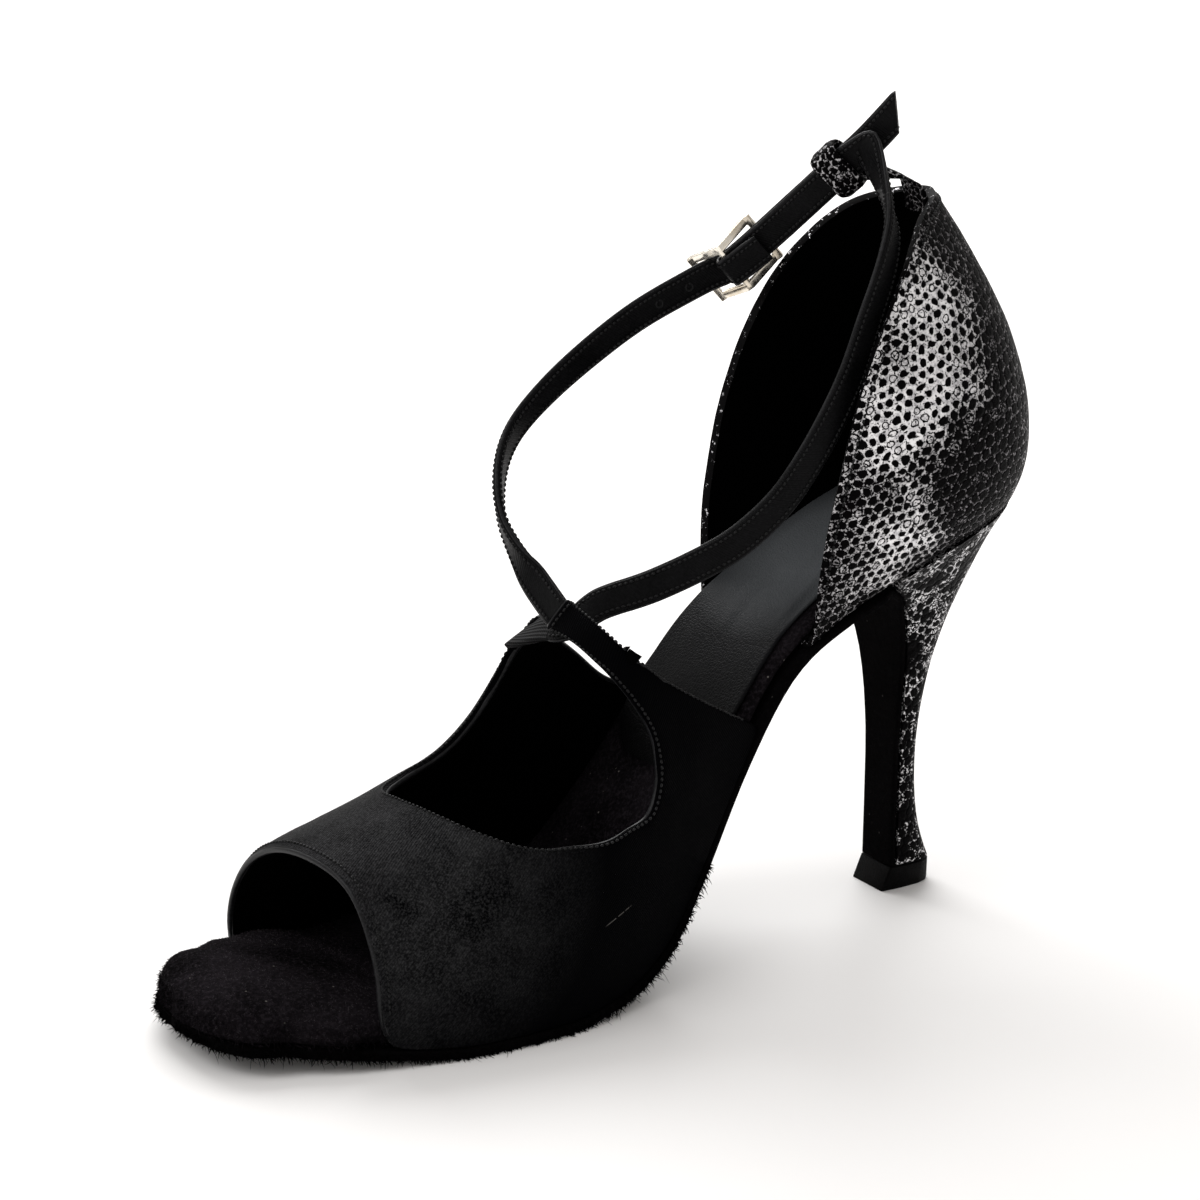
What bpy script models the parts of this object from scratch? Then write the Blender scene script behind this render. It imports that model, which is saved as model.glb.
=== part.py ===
"""A right ballroom dance shoe with a slim flared heel, an open toe and two crossing ankle straps.

Metres, Z up. The toe points along -X, the arch side (medial) faces -Y.
"""
import bpy
import bmesh
import math
from collections import namedtuple
from mathutils import Vector

MM = 0.001

# Sole
SOLE_LENGTH = 211.0 * MM
BALL_WIDTH = 77.0 * MM
WAIST_WIDTH = 45.0 * MM
SEAT_WIDTH = 47.0 * MM
SEAT_HEIGHT = 92.0 * MM
TOE_SPRING = 5.3 * MM
OUTSOLE_WALL = 2.0 * MM
FLAP_WALL = 1.4 * MM
FLAP_TURN = 7.4 * MM
INSOLE_WALL = 3.2 * MM
SOCK_WALL = 0.9 * MM
SOCK_MARGIN = 1.2 * MM
TOE_CUT = 0.84 * MM
BOARD_CUT = 1.2 * MM
INSET_CLEAR = 1.2 * MM
INSET_FADE = 6.0 * MM
GAP = 0.3 * MM
FOOT_GAP = 0.4 * MM

# Upper
INSTEP_HEIGHT = 88.0 * MM
VAMP_WALL = 1.6 * MM
UPPER_INSET = 0.6 * MM
COUNTER_HEIGHT = 69.2 * MM
COUNTER_LENGTH = 61.5 * MM
COUNTER_WALL = 1.9 * MM
COUNTER_BULGE = 17.0 * MM
COLLAR_WIDTH = 50.0 * MM

# Heel
NECK_WIDTH = 12.2 * MM
NECK_DEPTH = 8.2 * MM
BREAST_SET = 28.4 * MM
BREAST_REACH = 14.0 * MM
TIP_WIDTH = 12.2 * MM
TIP_DEPTH = 12.8 * MM
TIP_LEAD = 2.4 * MM
TIP_HEIGHT = 5.5 * MM

# Straps and buckle
STRAP_WIDTH = 6.6 * MM
ELASTIC_WIDTH = 8.0 * MM
TIP_SLANT = 3.0 * MM
STRAP_WALL = 1.6 * MM
FOLD_WALL = 0.8 * MM
FOLD_SLACK = 0.6 * MM
FOLD_TAIL = 8.5 * MM
ANKLE_WIDTH = 62.0 * MM
LOOP_WIDTH = 6.8 * MM
TAB_WIDTH = 5.0 * MM
LOOP_WALL = 1.2 * MM
LOOP_SLACK = 1.0 * MM
BUCKLE_LENGTH = 17.6 * MM
BUCKLE_WIDTH = 12.8 * MM
BUCKLE_BAR = 1.5 * MM
BUCKLE_SIDE = 1.9 * MM
PRONG_WIDTH = 1.0 * MM
SLOT_LENGTH = 3.2 * MM
LOOP_BEHIND = 22.2 * MM
LOOP_ABOVE = 5.4 * MM
CROSSING_LEAD = 1.2 * MM
HEEL_SET = 3.2 * MM
TAB_HANG = 5.0 * MM
TAB_LIFT = 3.0 * MM

MEDIAL = -1
LATERAL = 1

SoleRow = namedtuple("SoleRow", "along medial lateral width")
OUTLINE = [
    SoleRow(0.000, 0.02, 0.02, BALL_WIDTH),
    SoleRow(0.023, 0.160, 0.124, BALL_WIDTH),
    SoleRow(0.046, 0.230, 0.200, BALL_WIDTH),
    SoleRow(0.092, 0.326, 0.306, BALL_WIDTH),
    SoleRow(0.137, 0.386, 0.383, BALL_WIDTH),
    SoleRow(0.207, 0.442, 0.438, BALL_WIDTH),
    SoleRow(0.275, 0.477, 0.483, BALL_WIDTH),
    SoleRow(0.344, 0.481, 0.519, BALL_WIDTH),
    SoleRow(0.413, 0.449, 0.518, BALL_WIDTH),
    SoleRow(0.482, 0.395, 0.479, BALL_WIDTH),
    SoleRow(0.550, 0.325, 0.429, BALL_WIDTH),
    SoleRow(0.619, 0.438, 0.651, WAIST_WIDTH),
    SoleRow(0.688, 0.380, 0.600, WAIST_WIDTH),
    SoleRow(0.757, 0.398, 0.547, SEAT_WIDTH),
    SoleRow(0.826, 0.451, 0.543, SEAT_WIDTH),
    SoleRow(0.894, 0.477, 0.526, SEAT_WIDTH),
    SoleRow(0.940, 0.436, 0.468, SEAT_WIDTH),
    SoleRow(0.977, 0.332, 0.338, SEAT_WIDTH),
    SoleRow(1.000, 0.02, 0.02, SEAT_WIDTH),
]

# Underside of the sole: the toe's spring, the flat tread, then the climb to the seat
BottomRow = namedtuple("BottomRow", "along rise height")
BOTTOM = [
    BottomRow(0.000, 1.000, TOE_SPRING),
    BottomRow(0.092, 0.660, TOE_SPRING),
    BottomRow(0.183, 0.260, TOE_SPRING),
    BottomRow(0.252, 0.000, SEAT_HEIGHT),
    BottomRow(0.372, 0.000, SEAT_HEIGHT),
    BottomRow(0.435, 0.017, SEAT_HEIGHT),
    BottomRow(0.505, 0.082, SEAT_HEIGHT),
    BottomRow(0.573, 0.265, SEAT_HEIGHT),
    BottomRow(0.642, 0.503, SEAT_HEIGHT),
    BottomRow(0.711, 0.701, SEAT_HEIGHT),
    BottomRow(0.779, 0.802, SEAT_HEIGHT),
    BottomRow(0.849, 0.887, SEAT_HEIGHT),
    BottomRow(0.918, 0.950, SEAT_HEIGHT),
    BottomRow(1.000, 1.000, SEAT_HEIGHT),
]

# The last's sections: top of the instep over the floor, where it peaks, and how square each side is
FLAT_SPOT = (0.252, 0.372)
LastRow = namedtuple("LastRow", "along top peak medial_square lateral_square")
LAST = [
    LastRow(0.120, 0.435, -0.10, 3.0, 2.2),
    LastRow(0.170, 0.470, -0.09, 2.9, 2.2),
    LastRow(0.215, 0.492, -0.07, 2.7, 2.2),
    LastRow(0.265, 0.522, -0.05, 2.5, 2.1),
    LastRow(0.310, 0.555, -0.04, 2.4, 2.1),
    LastRow(0.358, 0.605, -0.03, 2.3, 2.0),
    LastRow(0.405, 0.705, -0.02, 2.3, 2.0),
    LastRow(0.430, 0.795, -0.01, 2.3, 2.0),
    LastRow(0.455, 0.890, 0.00, 2.3, 2.0),
    LastRow(0.500, 1.000, 0.00, 2.2, 2.0),
    LastRow(0.571, 1.125, 0.00, 2.1, 2.0),
    LastRow(0.666, 1.275, 0.00, 2.0, 2.0),
]

# Edges of the vamp on the last: along the sole, and round from the ridge (0) to the sole (1)
EdgeRow = namedtuple("EdgeRow", "step along round")
THROAT = [
    EdgeRow(0.00, 0.447, 0.045),
    EdgeRow(0.07, 0.450, -0.17),
    EdgeRow(0.13, 0.465, -0.36),
    EdgeRow(0.20, 0.484, -0.50),
    EdgeRow(0.26, 0.502, -0.62),
    EdgeRow(0.32, 0.504, -0.70),
    EdgeRow(0.37, 0.486, -0.75),
    EdgeRow(0.43, 0.442, -0.71),
    EdgeRow(0.49, 0.387, -0.58),
    EdgeRow(0.55, 0.335, -0.46),
    EdgeRow(0.61, 0.290, -0.27),
    EdgeRow(0.66, 0.267, -0.05),
    EdgeRow(0.70, 0.262, 0.11),
    EdgeRow(0.75, 0.287, 0.25),
    EdgeRow(0.81, 0.332, 0.30),
    EdgeRow(0.88, 0.380, 0.32),
    EdgeRow(0.94, 0.418, 0.33),
    EdgeRow(1.00, 0.446, 0.33),
]
NEAR_BACK = [
    EdgeRow(0.00, 0.470, 0.03),
    EdgeRow(0.10, 0.471, -0.18),
    EdgeRow(0.20, 0.482, -0.32),
    EdgeRow(0.34, 0.505, -0.46),
    EdgeRow(0.50, 0.542, -0.60),
    EdgeRow(0.68, 0.580, -0.73),
    EdgeRow(0.84, 0.617, -0.87),
    EdgeRow(1.00, 0.649, -1.00),
]
TOE_OPENING = [
    EdgeRow(0.00, 0.165, -1.00),
    EdgeRow(0.14, 0.165, -0.81),
    EdgeRow(0.27, 0.160, -0.60),
    EdgeRow(0.40, 0.157, -0.34),
    EdgeRow(0.50, 0.150, -0.09),
    EdgeRow(0.60, 0.144, 0.15),
    EdgeRow(0.70, 0.140, 0.38),
    EdgeRow(0.80, 0.138, 0.60),
    EdgeRow(0.90, 0.137, 0.80),
    EdgeRow(1.00, 0.141, 1.00),
]
FAR_BACK = [
    EdgeRow(0.00, 0.636, 1.00),
    EdgeRow(0.30, 0.594, 0.84),
    EdgeRow(0.60, 0.555, 0.67),
    EdgeRow(0.82, 0.511, 0.50),
    EdgeRow(1.00, 0.469, 0.27),
]

# The counter's columns, from the back (0) to its front end (1)
CounterRow = namedtuple("CounterRow", "turn seat forward height medial lateral hold bulge")
COUNTER = [
    CounterRow(0.00, 1.000, 0.306, 1.000, 0.00, 0.00, 0.00, 1.00),
    CounterRow(0.12, 0.988, 0.360, 0.990, 0.24, 0.24, 0.00, 0.98),
    CounterRow(0.24, 0.960, 0.490, 0.958, 0.50, 0.46, 0.00, 0.90),
    CounterRow(0.36, 0.920, 0.600, 0.890, 0.74, 0.64, 0.00, 0.75),
    CounterRow(0.48, 0.880, 0.735, 0.760, 0.94, 0.82, 0.00, 0.58),
    CounterRow(0.60, 0.840, 0.835, 0.645, 1.00, 0.88, 0.00, 0.45),
    CounterRow(0.71, 0.800, 0.925, 0.486, 1.02, 0.95, 0.05, 0.32),
    CounterRow(0.82, 0.765, 0.975, 0.306, 1.00, 1.02, 0.30, 0.20),
    CounterRow(0.92, 0.735, 1.000, 0.162, 0.96, 1.06, 0.60, 0.10),
    CounterRow(1.00, 0.712, 0.985, 0.052, 0.92, 1.08, 0.95, 0.04),
]

# The heel from the seat down: breast and back as shares, flare from the neck (0) to the seat (1)
HeelRow = namedtuple("HeelRow", "reach rise sweep back_rise flare tip")
HEEL = [
    HeelRow(0.72, 0.821, 0.850, 0.957, 0.740, 0.00),
    HeelRow(0.44, 0.793, 0.728, 0.897, 0.580, 0.00),
    HeelRow(0.22, 0.734, 0.564, 0.799, 0.340, 0.00),
    HeelRow(0.08, 0.652, 0.330, 0.696, 0.200, 0.00),
    HeelRow(0.02, 0.554, 0.165, 0.587, 0.100, 0.00),
    HeelRow(0.00, 0.446, 0.045, 0.467, 0.035, 0.00),
    HeelRow(0.00, 0.332, 0.005, 0.348, 0.000, 0.00),
    HeelRow(0.00, 0.217, 0.000, 0.228, 0.000, 0.12),
    HeelRow(0.00, 0.130, 0.000, 0.136, 0.000, 0.45),
]

# Strap routes: forward and rise between the crossing and the loop, side in ankle widths,
# and the way the strap's outer face looks, in degrees from the toe towards the outside
StrapRow = namedtuple("StrapRow", "forward rise side facing tilt")
OVER_ROUTE = [
    StrapRow(0.017, 0.037, 0.190, 5, 34),
    StrapRow(-0.006, 0.102, 0.268, 22, 20),
    StrapRow(-0.021, 0.185, 0.339, 36, 12),
    StrapRow(0.009, 0.286, 0.403, 52, 8),
    StrapRow(0.088, 0.364, 0.468, 64, 5),
    StrapRow(0.214, 0.446, 0.500, 76, 3),
    StrapRow(0.377, 0.533, 0.512, 86, 0),
    StrapRow(0.543, 0.617, 0.492, 96, 0),
    StrapRow(0.730, 0.695, 0.440, 108, 0),
    StrapRow(0.816, 0.736, 0.389, 114, 0),
    StrapRow(0.927, 0.880, 0.220, 122, 0),
    StrapRow(1.000, 1.000, 0.064, 126, 0),
    StrapRow(1.066, 1.070, 0.000, 130, 0),
    StrapRow(1.121, 1.144, -0.064, 134, 0),
]
UNDER_ROUTE = [
    StrapRow(0.035, -0.075, 0.137, 10, 35),
    StrapRow(0.058, -0.056, 0.032, -10, 40),
    StrapRow(0.145, -0.006, 0.000, -50, 30),
    StrapRow(0.281, 0.032, -0.064, -68, 24),
    StrapRow(0.417, 0.084, -0.129, -75, 18),
    StrapRow(0.518, 0.143, -0.194, -78, 13),
    StrapRow(0.618, 0.235, -0.258, -80, 9),
    StrapRow(0.692, 0.337, -0.300, -82, 6),
    StrapRow(0.766, 0.446, -0.318, -84, 4),
    StrapRow(0.833, 0.552, -0.318, -88, 2),
    StrapRow(0.888, 0.672, -0.315, -94, 0),
    StrapRow(0.949, 0.790, -0.300, -104, 0),
    StrapRow(1.000, 0.885, -0.250, -122, 0),
    StrapRow(1.030, 0.955, -0.160, -150, 0),
]
CROSSING_LIFT = 1.6 * MM
LOOP_SIDE = 0.064
BUCKLE_ROW = 10
LOOP_ROW = 12
ELASTIC_END = 4


def hermite(keys, values, at):
    """Monotone cubic through the rows, so a table never overshoots."""
    if at <= keys[0]:
        return values[0]
    if at >= keys[-1]:
        return values[-1]
    last = len(keys) - 1
    slopes = [(values[i + 1] - values[i]) / (keys[i + 1] - keys[i]) for i in range(last)]
    tangents = [slopes[0]]
    for i in range(1, last):
        before, after = slopes[i - 1], slopes[i]
        tangents.append(0.0 if before * after <= 0 else 2 * before * after / (before + after))
    tangents.append(slopes[-1])
    i = max(k for k in range(last) if keys[k] <= at)
    span = keys[i + 1] - keys[i]
    t = (at - keys[i]) / span
    rise = values[i + 1] - values[i]
    start = tangents[i] * span
    end = tangents[i + 1] * span
    return values[i] + start * t + (3 * rise - 2 * start - end) * t * t + (start + end - 2 * rise) * t ** 3


def read(table, key, name, at):
    return hermite([getattr(row, key) for row in table], [getattr(row, name) for row in table], at)


def blend(a, b, share):
    return a + (b - a) * share


def round_key(along):
    """Spreads the toe and heel ends, where the outline turns round."""
    return math.acos(1 - 2 * min(max(along, 0.0), 1.0)) / math.pi


def sole_x(along):
    return (along - 0.5) * SOLE_LENGTH


def sole_half(along, side):
    name = "medial" if side == MEDIAL else "lateral"
    keys = [round_key(row.along) for row in OUTLINE]
    values = [getattr(row, name) * row.width for row in OUTLINE]
    return hermite(keys, values, round_key(along))


def underside(along):
    return hermite([row.along for row in BOTTOM], [row.rise * row.height for row in BOTTOM], along)


def lay(along):
    """Top of the outsole and of the heel block, where the upper and the insole lie."""
    return underside(along) + OUTSOLE_WALL / slope_normal(along).z


def slope_normal(along):
    step = 0.004
    run = 2 * step * SOLE_LENGTH
    rise = underside(along + step) - underside(along - step)
    return Vector((-rise, 0, run)).normalized()


def new_object(name, vertices, faces, material, smooth_angle=35):
    mesh = bpy.data.meshes.new(name)
    mesh.from_pydata([tuple(v) for v in vertices], [], faces)
    builder = bmesh.new()
    builder.from_mesh(mesh)
    bmesh.ops.triangulate(builder, faces=builder.faces)
    bmesh.ops.recalc_face_normals(builder, faces=builder.faces)
    builder.to_mesh(mesh)
    builder.free()
    mesh.materials.append(material)
    mesh.shade_smooth()
    mesh.set_sharp_from_angle(angle=math.radians(smooth_angle))
    thing = bpy.data.objects.new(name, mesh)
    bpy.context.scene.collection.objects.link(thing)
    return thing


def loft(rings):
    """Closed skin through equal rings, with both ends capped."""
    count = len(rings[0])
    vertices = [point for ring in rings for point in ring]
    faces = []
    for r in range(len(rings) - 1):
        for c in range(count):
            d = (c + 1) % count
            faces.append((r * count + c, r * count + d, (r + 1) * count + d, (r + 1) * count + c))
    faces.append(tuple(range(count)))
    faces.append(tuple((len(rings) - 1) * count + c for c in range(count)))
    return vertices, faces


def shell(outer, inner):
    """Closed wall between two equal grids of points, joined along their border."""
    rows, columns = len(outer), len(outer[0])
    vertices = [p for row in outer for p in row] + [p for row in inner for p in row]
    half = rows * columns
    faces = []
    for r in range(rows - 1):
        for c in range(columns - 1):
            a, b = r * columns + c, r * columns + c + 1
            d, e = a + columns, b + columns
            faces.append((a, b, e, d))
            faces.append((a + half, d + half, e + half, b + half))
    border = [c for c in range(columns)]
    border += [r * columns + columns - 1 for r in range(1, rows)]
    border += [(rows - 1) * columns + c for c in range(columns - 2, -1, -1)]
    border += [r * columns for r in range(rows - 2, 0, -1)]
    for i, a in enumerate(border):
        b = border[(i + 1) % len(border)]
        faces.append((a, a + half, b + half, b))
    return vertices, faces


def grid_normals(grid):
    rows, columns = len(grid), len(grid[0])
    normals = []
    for r in range(rows):
        line = []
        for c in range(columns):
            across = grid[r][min(c + 1, columns - 1)] - grid[r][max(c - 1, 0)]
            down = grid[min(r + 1, rows - 1)][c] - grid[max(r - 1, 0)][c]
            line.append(across.cross(down).normalized())
        normals.append(line)
    return normals


def material(name, colour, roughness, metallic=0.0):
    made = bpy.data.materials.new(name)
    made.use_nodes = True
    surface = made.node_tree.nodes["Principled BSDF"]
    surface.inputs["Base Color"].default_value = (*colour, 1)
    surface.inputs["Roughness"].default_value = roughness
    surface.inputs["Metallic"].default_value = metallic
    return made


# Heel rings

HEEL_RING = 11
BREAST_POINTS = 3
SEAT_END = 0.9995
INSOLE_END = 0.968


def breast_x():
    return SOLE_LENGTH / 2 - BREAST_SET


def seat_start():
    """Share of the sole's length at which the heel block begins."""
    return (breast_x() - BREAST_REACH) / SOLE_LENGTH + 0.5


def heel_shape(index, flare, tip):
    """Share back from the breast, side and half widths of one point round a ring, squarer at the tip."""
    turn = blend(-1.0, 1.0, index / (HEEL_RING - 1))
    side = MEDIAL if turn < 0 else LATERAL
    straight = 0.28
    if abs(turn) == 1.0:
        neck_back, neck_half = 0.0, 0.96
    else:
        angle = turn * math.pi / 2 * HEEL_RING / (HEEL_RING - 2)
        angle = min(max(angle, -math.pi / 2), math.pi / 2)
        corner = blend(1.0, 0.6, tip)
        neck_back = straight + (1 - straight) * max(math.cos(angle), 0.0) ** corner
        neck_half = abs(math.sin(angle)) ** corner
    start = seat_start()
    seat_back = math.cos(abs(turn) * math.pi / 2) ** 0.9
    along = blend(start, SEAT_END, seat_back)
    seat_half = sole_half(along, side) if turn else 0.0
    back = blend(neck_back, seat_back, flare)
    return back, side, neck_half, seat_half


def heel_ring(front, back, neck_half, flare, tip):
    """Ring from the near breast corner round the back to the far corner, then along the breast."""
    ring = []
    for index in range(HEEL_RING):
        share, side, neck, seat = heel_shape(index, flare, tip)
        half = blend(neck * neck_half, seat, flare)
        ring.append(Vector((blend(front.x, back.x, share), side * half, blend(front.z, back.z, share))))
    near, far = ring[0], ring[-1]
    for index in range(1, BREAST_POINTS + 1):
        ring.append(far.lerp(near, index / (BREAST_POINTS + 1)))
    return ring


def heel_points(row):
    front = Vector((breast_x() - row.reach * BREAST_REACH, 0, row.rise * SEAT_HEIGHT))
    neck_back = breast_x() + blend(NECK_DEPTH, TIP_DEPTH, row.tip)
    back = Vector((blend(neck_back, SOLE_LENGTH / 2, row.sweep), 0, row.back_rise * SEAT_HEIGHT))
    half = blend(NECK_WIDTH, TIP_WIDTH, row.tip) / 2
    return front, back, half


def breast_path():
    """The flap's outer face from the seat down to the tip, with its half widths."""
    stations = []
    for row in HEEL:
        front, back, half = heel_points(row)
        near = blend(0.96 * half, sole_half(seat_start(), MEDIAL), row.flare)
        far = blend(0.96 * half, sole_half(seat_start(), LATERAL), row.flare)
        stations.append((front.x, front.z, near, far))
    stations.append((breast_x(), TIP_HEIGHT + GAP, 0.48 * TIP_WIDTH, 0.48 * TIP_WIDTH))
    return stations


def inward(path, index):
    """Unit normal of a path in the XZ plane, pointing into the shoe."""
    before = path[max(index - 1, 0)]
    after = path[min(index + 1, len(path) - 1)]
    run = Vector((after[0] - before[0], 0, after[1] - before[1])).normalized()
    return Vector((-run.z, 0, run.x))


def slab(path, walls):
    """Bent board: stations (x, z, medial half, lateral half) and its wall, laid on the inner side."""
    rings = []
    for index, (x, z, near, far) in enumerate(path):
        normal = inward(path, index)
        lower = Vector((x, 0, z))
        upper = lower + normal * walls[index]
        ring = []
        for point, y in ((lower, -near), (lower, far), (upper, far), (upper, -near)):
            ring.append(Vector((point.x, y, point.z)))
        rings.append(ring)
    return loft(rings)


def sole_stations(start, end):
    """Stations shared by all the boards, so that their bends stay parallel."""
    steps = 64
    shared = [(1 - math.cos(math.pi * k / steps)) / 2 for k in range(steps + 1)]
    shared += [row.along for row in BOTTOM if row.along in FLAT_SPOT]
    clear = 0.004
    return sorted([start, end] + [along for along in shared if start + clear < along < end - clear])


def make_outsole(suede):
    path = []
    turn_from = seat_start() - FLAP_TURN / SOLE_LENGTH
    for along in sole_stations(TOE_CUT / SOLE_LENGTH, turn_from):
        path.append((sole_x(along), underside(along), sole_half(along, MEDIAL), sole_half(along, LATERAL)))
    walls = [OUTSOLE_WALL] * len(path)
    breast = breast_path()
    top = Vector((breast_x() - BREAST_REACH, 0, underside(seat_start()) - FOOT_GAP))
    path.append((top.x, top.z, sole_half(seat_start(), MEDIAL), sole_half(seat_start(), LATERAL)))
    path += breast
    walls += [blend(OUTSOLE_WALL, FLAP_WALL, 0.6)] + [FLAP_WALL] * len(breast)
    return new_object("outsole", *slab(path, walls), suede)


def make_heel(skin):
    start = seat_start()
    rings = []
    top = []
    for index in range(HEEL_RING):
        share, side, neck, seat = heel_shape(index, 1.0, 0.0)
        along = blend(start + HEEL_SET / SOLE_LENGTH, SEAT_END, share)
        half = sole_half(along, side) if index != HEEL_RING // 2 else 0.0
        top.append(Vector((sole_x(along), side * half, lay(along))))
    for index in range(1, BREAST_POINTS + 1):
        top.append(top[HEEL_RING - 1].lerp(top[0], index / (BREAST_POINTS + 1)))
    rings.append(top)
    breast = breast_path()
    for index, row in enumerate(HEEL):
        front, back, half = heel_points(row)
        front = front + inward(breast, index) * (FLAP_WALL + GAP)
        rings.append(heel_ring(front, back, half, row.flare, row.tip))
    front = Vector((breast_x() + FLAP_WALL + GAP, 0, TIP_HEIGHT + GAP))
    back = Vector((breast_x() + TIP_DEPTH, 0, TIP_HEIGHT + GAP))
    rings.append(heel_ring(front, back, TIP_WIDTH / 2, 0.0, 1.0))
    return new_object("heel", *loft(rings), skin)


def make_heel_tip(rubber):
    rings = []
    for share in (0.0, 0.5, 1.0):
        z = blend(TIP_HEIGHT, 0.0, share)
        front = Vector((breast_x() - share * TIP_LEAD, 0, z))
        back = Vector((breast_x() + TIP_DEPTH, 0, z))
        rings.append(heel_ring(front, back, TIP_WIDTH / 2, 0.0, 1.0))
    return new_object("heel_tip", *loft(rings), rubber)


# Upper

def vamp_point(along, turn):
    """Point on the last: turn runs from -1 at the medial sole edge over 0 on top to 1."""
    side = MEDIAL if turn < 0 else LATERAL
    square = read(LAST, "along", "medial_square" if side == MEDIAL else "lateral_square", along)
    base = lay(along) + FOOT_GAP
    top = read(LAST, "along", "top", along) * INSTEP_HEIGHT
    peak = read(LAST, "along", "peak", along) * BALL_WIDTH
    edge = side * (sole_half(along, side) - UPPER_INSET)
    angle = (1 - abs(turn)) * math.pi / 2
    out = math.cos(angle) ** (2 / square)
    up = math.sin(angle) ** (2 / square)
    return Vector((sole_x(along), blend(peak, edge, out), blend(base, top, up)))


def edge_at(table, step):
    return read(table, "step", "along", step), read(table, "step", "round", step)


def vamp_borders():
    """Matching points on the throat's edge and on the vamp's outer border."""
    near_end, toe_start = NEAR_BACK[-1].along, TOE_OPENING[0].along
    toe_end, far_start = TOE_OPENING[-1].along, FAR_BACK[0].along
    segments = [
        (10, 0.00, 0.26, lambda t: edge_at(NEAR_BACK, t)),
        (12, 0.26, 0.47, lambda t: (blend(near_end, toe_start, t), -1.0)),
        (14, 0.47, 0.66, lambda t: edge_at(TOE_OPENING, t)),
        (11, 0.66, 0.82, lambda t: (blend(toe_end, far_start, t), 1.0)),
        (8, 0.82, 1.00, lambda t: edge_at(FAR_BACK, t)),
    ]
    borders = []
    for number, (count, start, end, outer) in enumerate(segments):
        first = 0 if number == 0 else 1
        for k in range(first, count + 1):
            borders.append((edge_at(THROAT, blend(start, end, k / count)), outer(k / count)))
    return borders


VAMP_ROWS = 9


def vamp_grid():
    grid = []
    for (throat, outer) in vamp_borders():
        line = []
        for r in range(VAMP_ROWS):
            share = r / (VAMP_ROWS - 1)
            line.append(vamp_point(blend(throat[0], outer[0], share), blend(throat[1], outer[1], share)))
        grid.append(line)
    return grid


def thicken(grid, wall, inside):
    """Inner grid: moved along the normals towards the inside point, the sole's edge kept level."""
    normals = grid_normals(grid)
    inner = []
    for line, directions in zip(grid, normals):
        new = []
        for point, normal in zip(line, directions):
            if normal.dot(inside(point) - point) < 0:
                normal = -normal
            new.append(point + normal * wall)
        inner.append(new)
    return inner


def level_feet(inner, is_foot):
    """Lets the wall's inner foot follow the sole's slope too."""
    for r, line in enumerate(inner):
        for c, point in enumerate(line):
            if is_foot(r, c):
                point.z = lay(point.x / SOLE_LENGTH + 0.5) + FOOT_GAP
    return inner


def make_vamp(satin):
    outer = vamp_grid()

    def inside(point):
        along = point.x / SOLE_LENGTH + 0.5
        return Vector((point.x, 0, lay(along)))

    inner = thicken(outer, VAMP_WALL, inside)
    borders = vamp_borders()
    feet = [c for c, (throat, edge) in enumerate(borders) if abs(edge[1]) == 1.0]
    inner = level_feet(inner, lambda r, c: r in feet and c == VAMP_ROWS - 1)
    return new_object("vamp", *shell(outer, inner), satin)


def seat_normal(along, side):
    step = 0.006
    low, high = max(along - step, 0.0), min(along + step, 0.9999)
    run = sole_x(high) - sole_x(low)
    spread = sole_half(high, side) - sole_half(low, side)
    return Vector((-spread, side * run, 0)).normalized()


def counter_column(turn, rows):
    side = MEDIAL if turn < 0 else LATERAL
    get = {name: read(COUNTER, "turn", name, abs(turn)) for name in CounterRow._fields}
    along = min(get["seat"], 0.9999)
    half = sole_half(along, side) - UPPER_INSET if turn else 0.0
    foot_x = sole_x(along) - (UPPER_INSET if get["seat"] > 0.98 else 0)
    foot = Vector((foot_x, side * max(half, 0), lay(along) + GAP))
    top_level = lay(1.0) + COUNTER_HEIGHT
    collar = get["medial" if side == MEDIAL else "lateral"] * COLLAR_WIDTH / 2
    head_half = blend(collar, half + 1.3 * UPPER_INSET, get["hold"])
    head = Vector((SOLE_LENGTH / 2 - get["forward"] * COUNTER_LENGTH, side * head_half,
                   blend(foot.z, top_level, get["height"])))
    out = seat_normal(along, side) if abs(turn) > 0.12 else Vector((1, side * abs(turn) * 2.5, 0)).normalized()
    push = out * get["bulge"] * COUNTER_BULGE
    drop = Vector((0, 0, -0.55 * get["bulge"] * COUNTER_BULGE))
    low = foot.lerp(head, 1 / 3) + push + drop
    high = foot.lerp(head, 2 / 3) + push * 0.94 + drop * 0.6
    column = []
    for r in range(rows):
        t = r / (rows - 1)
        u = 1 - t
        column.append(foot * u ** 3 + low * (3 * u * u * t) + high * (3 * u * t * t) + head * t ** 3)
    return column


COUNTER_COLUMNS = 33
COUNTER_ROWS = 9


def make_counter(skin):
    outer = [counter_column(blend(-1.0, 1.0, c / (COUNTER_COLUMNS - 1)), COUNTER_ROWS)
             for c in range(COUNTER_COLUMNS)]

    def inside(point):
        return Vector((SOLE_LENGTH / 2 - 0.7 * COUNTER_LENGTH, 0, point.z))

    inner = thicken(outer, COUNTER_WALL, inside)
    inner = level_feet(inner, lambda r, c: c == 0)
    return new_object("counter", *shell(outer, inner), skin)


# Insole and sock

def vamp_start(side):
    """Shares of the length where the board begins to draw in beside the vamp, and where it is drawn in."""
    toe_edge = TOE_OPENING[0].along if side == MEDIAL else min(row.along for row in TOE_OPENING)
    full = toe_edge - INSET_CLEAR / SOLE_LENGTH
    return full - INSET_FADE / SOLE_LENGTH, full


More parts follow.
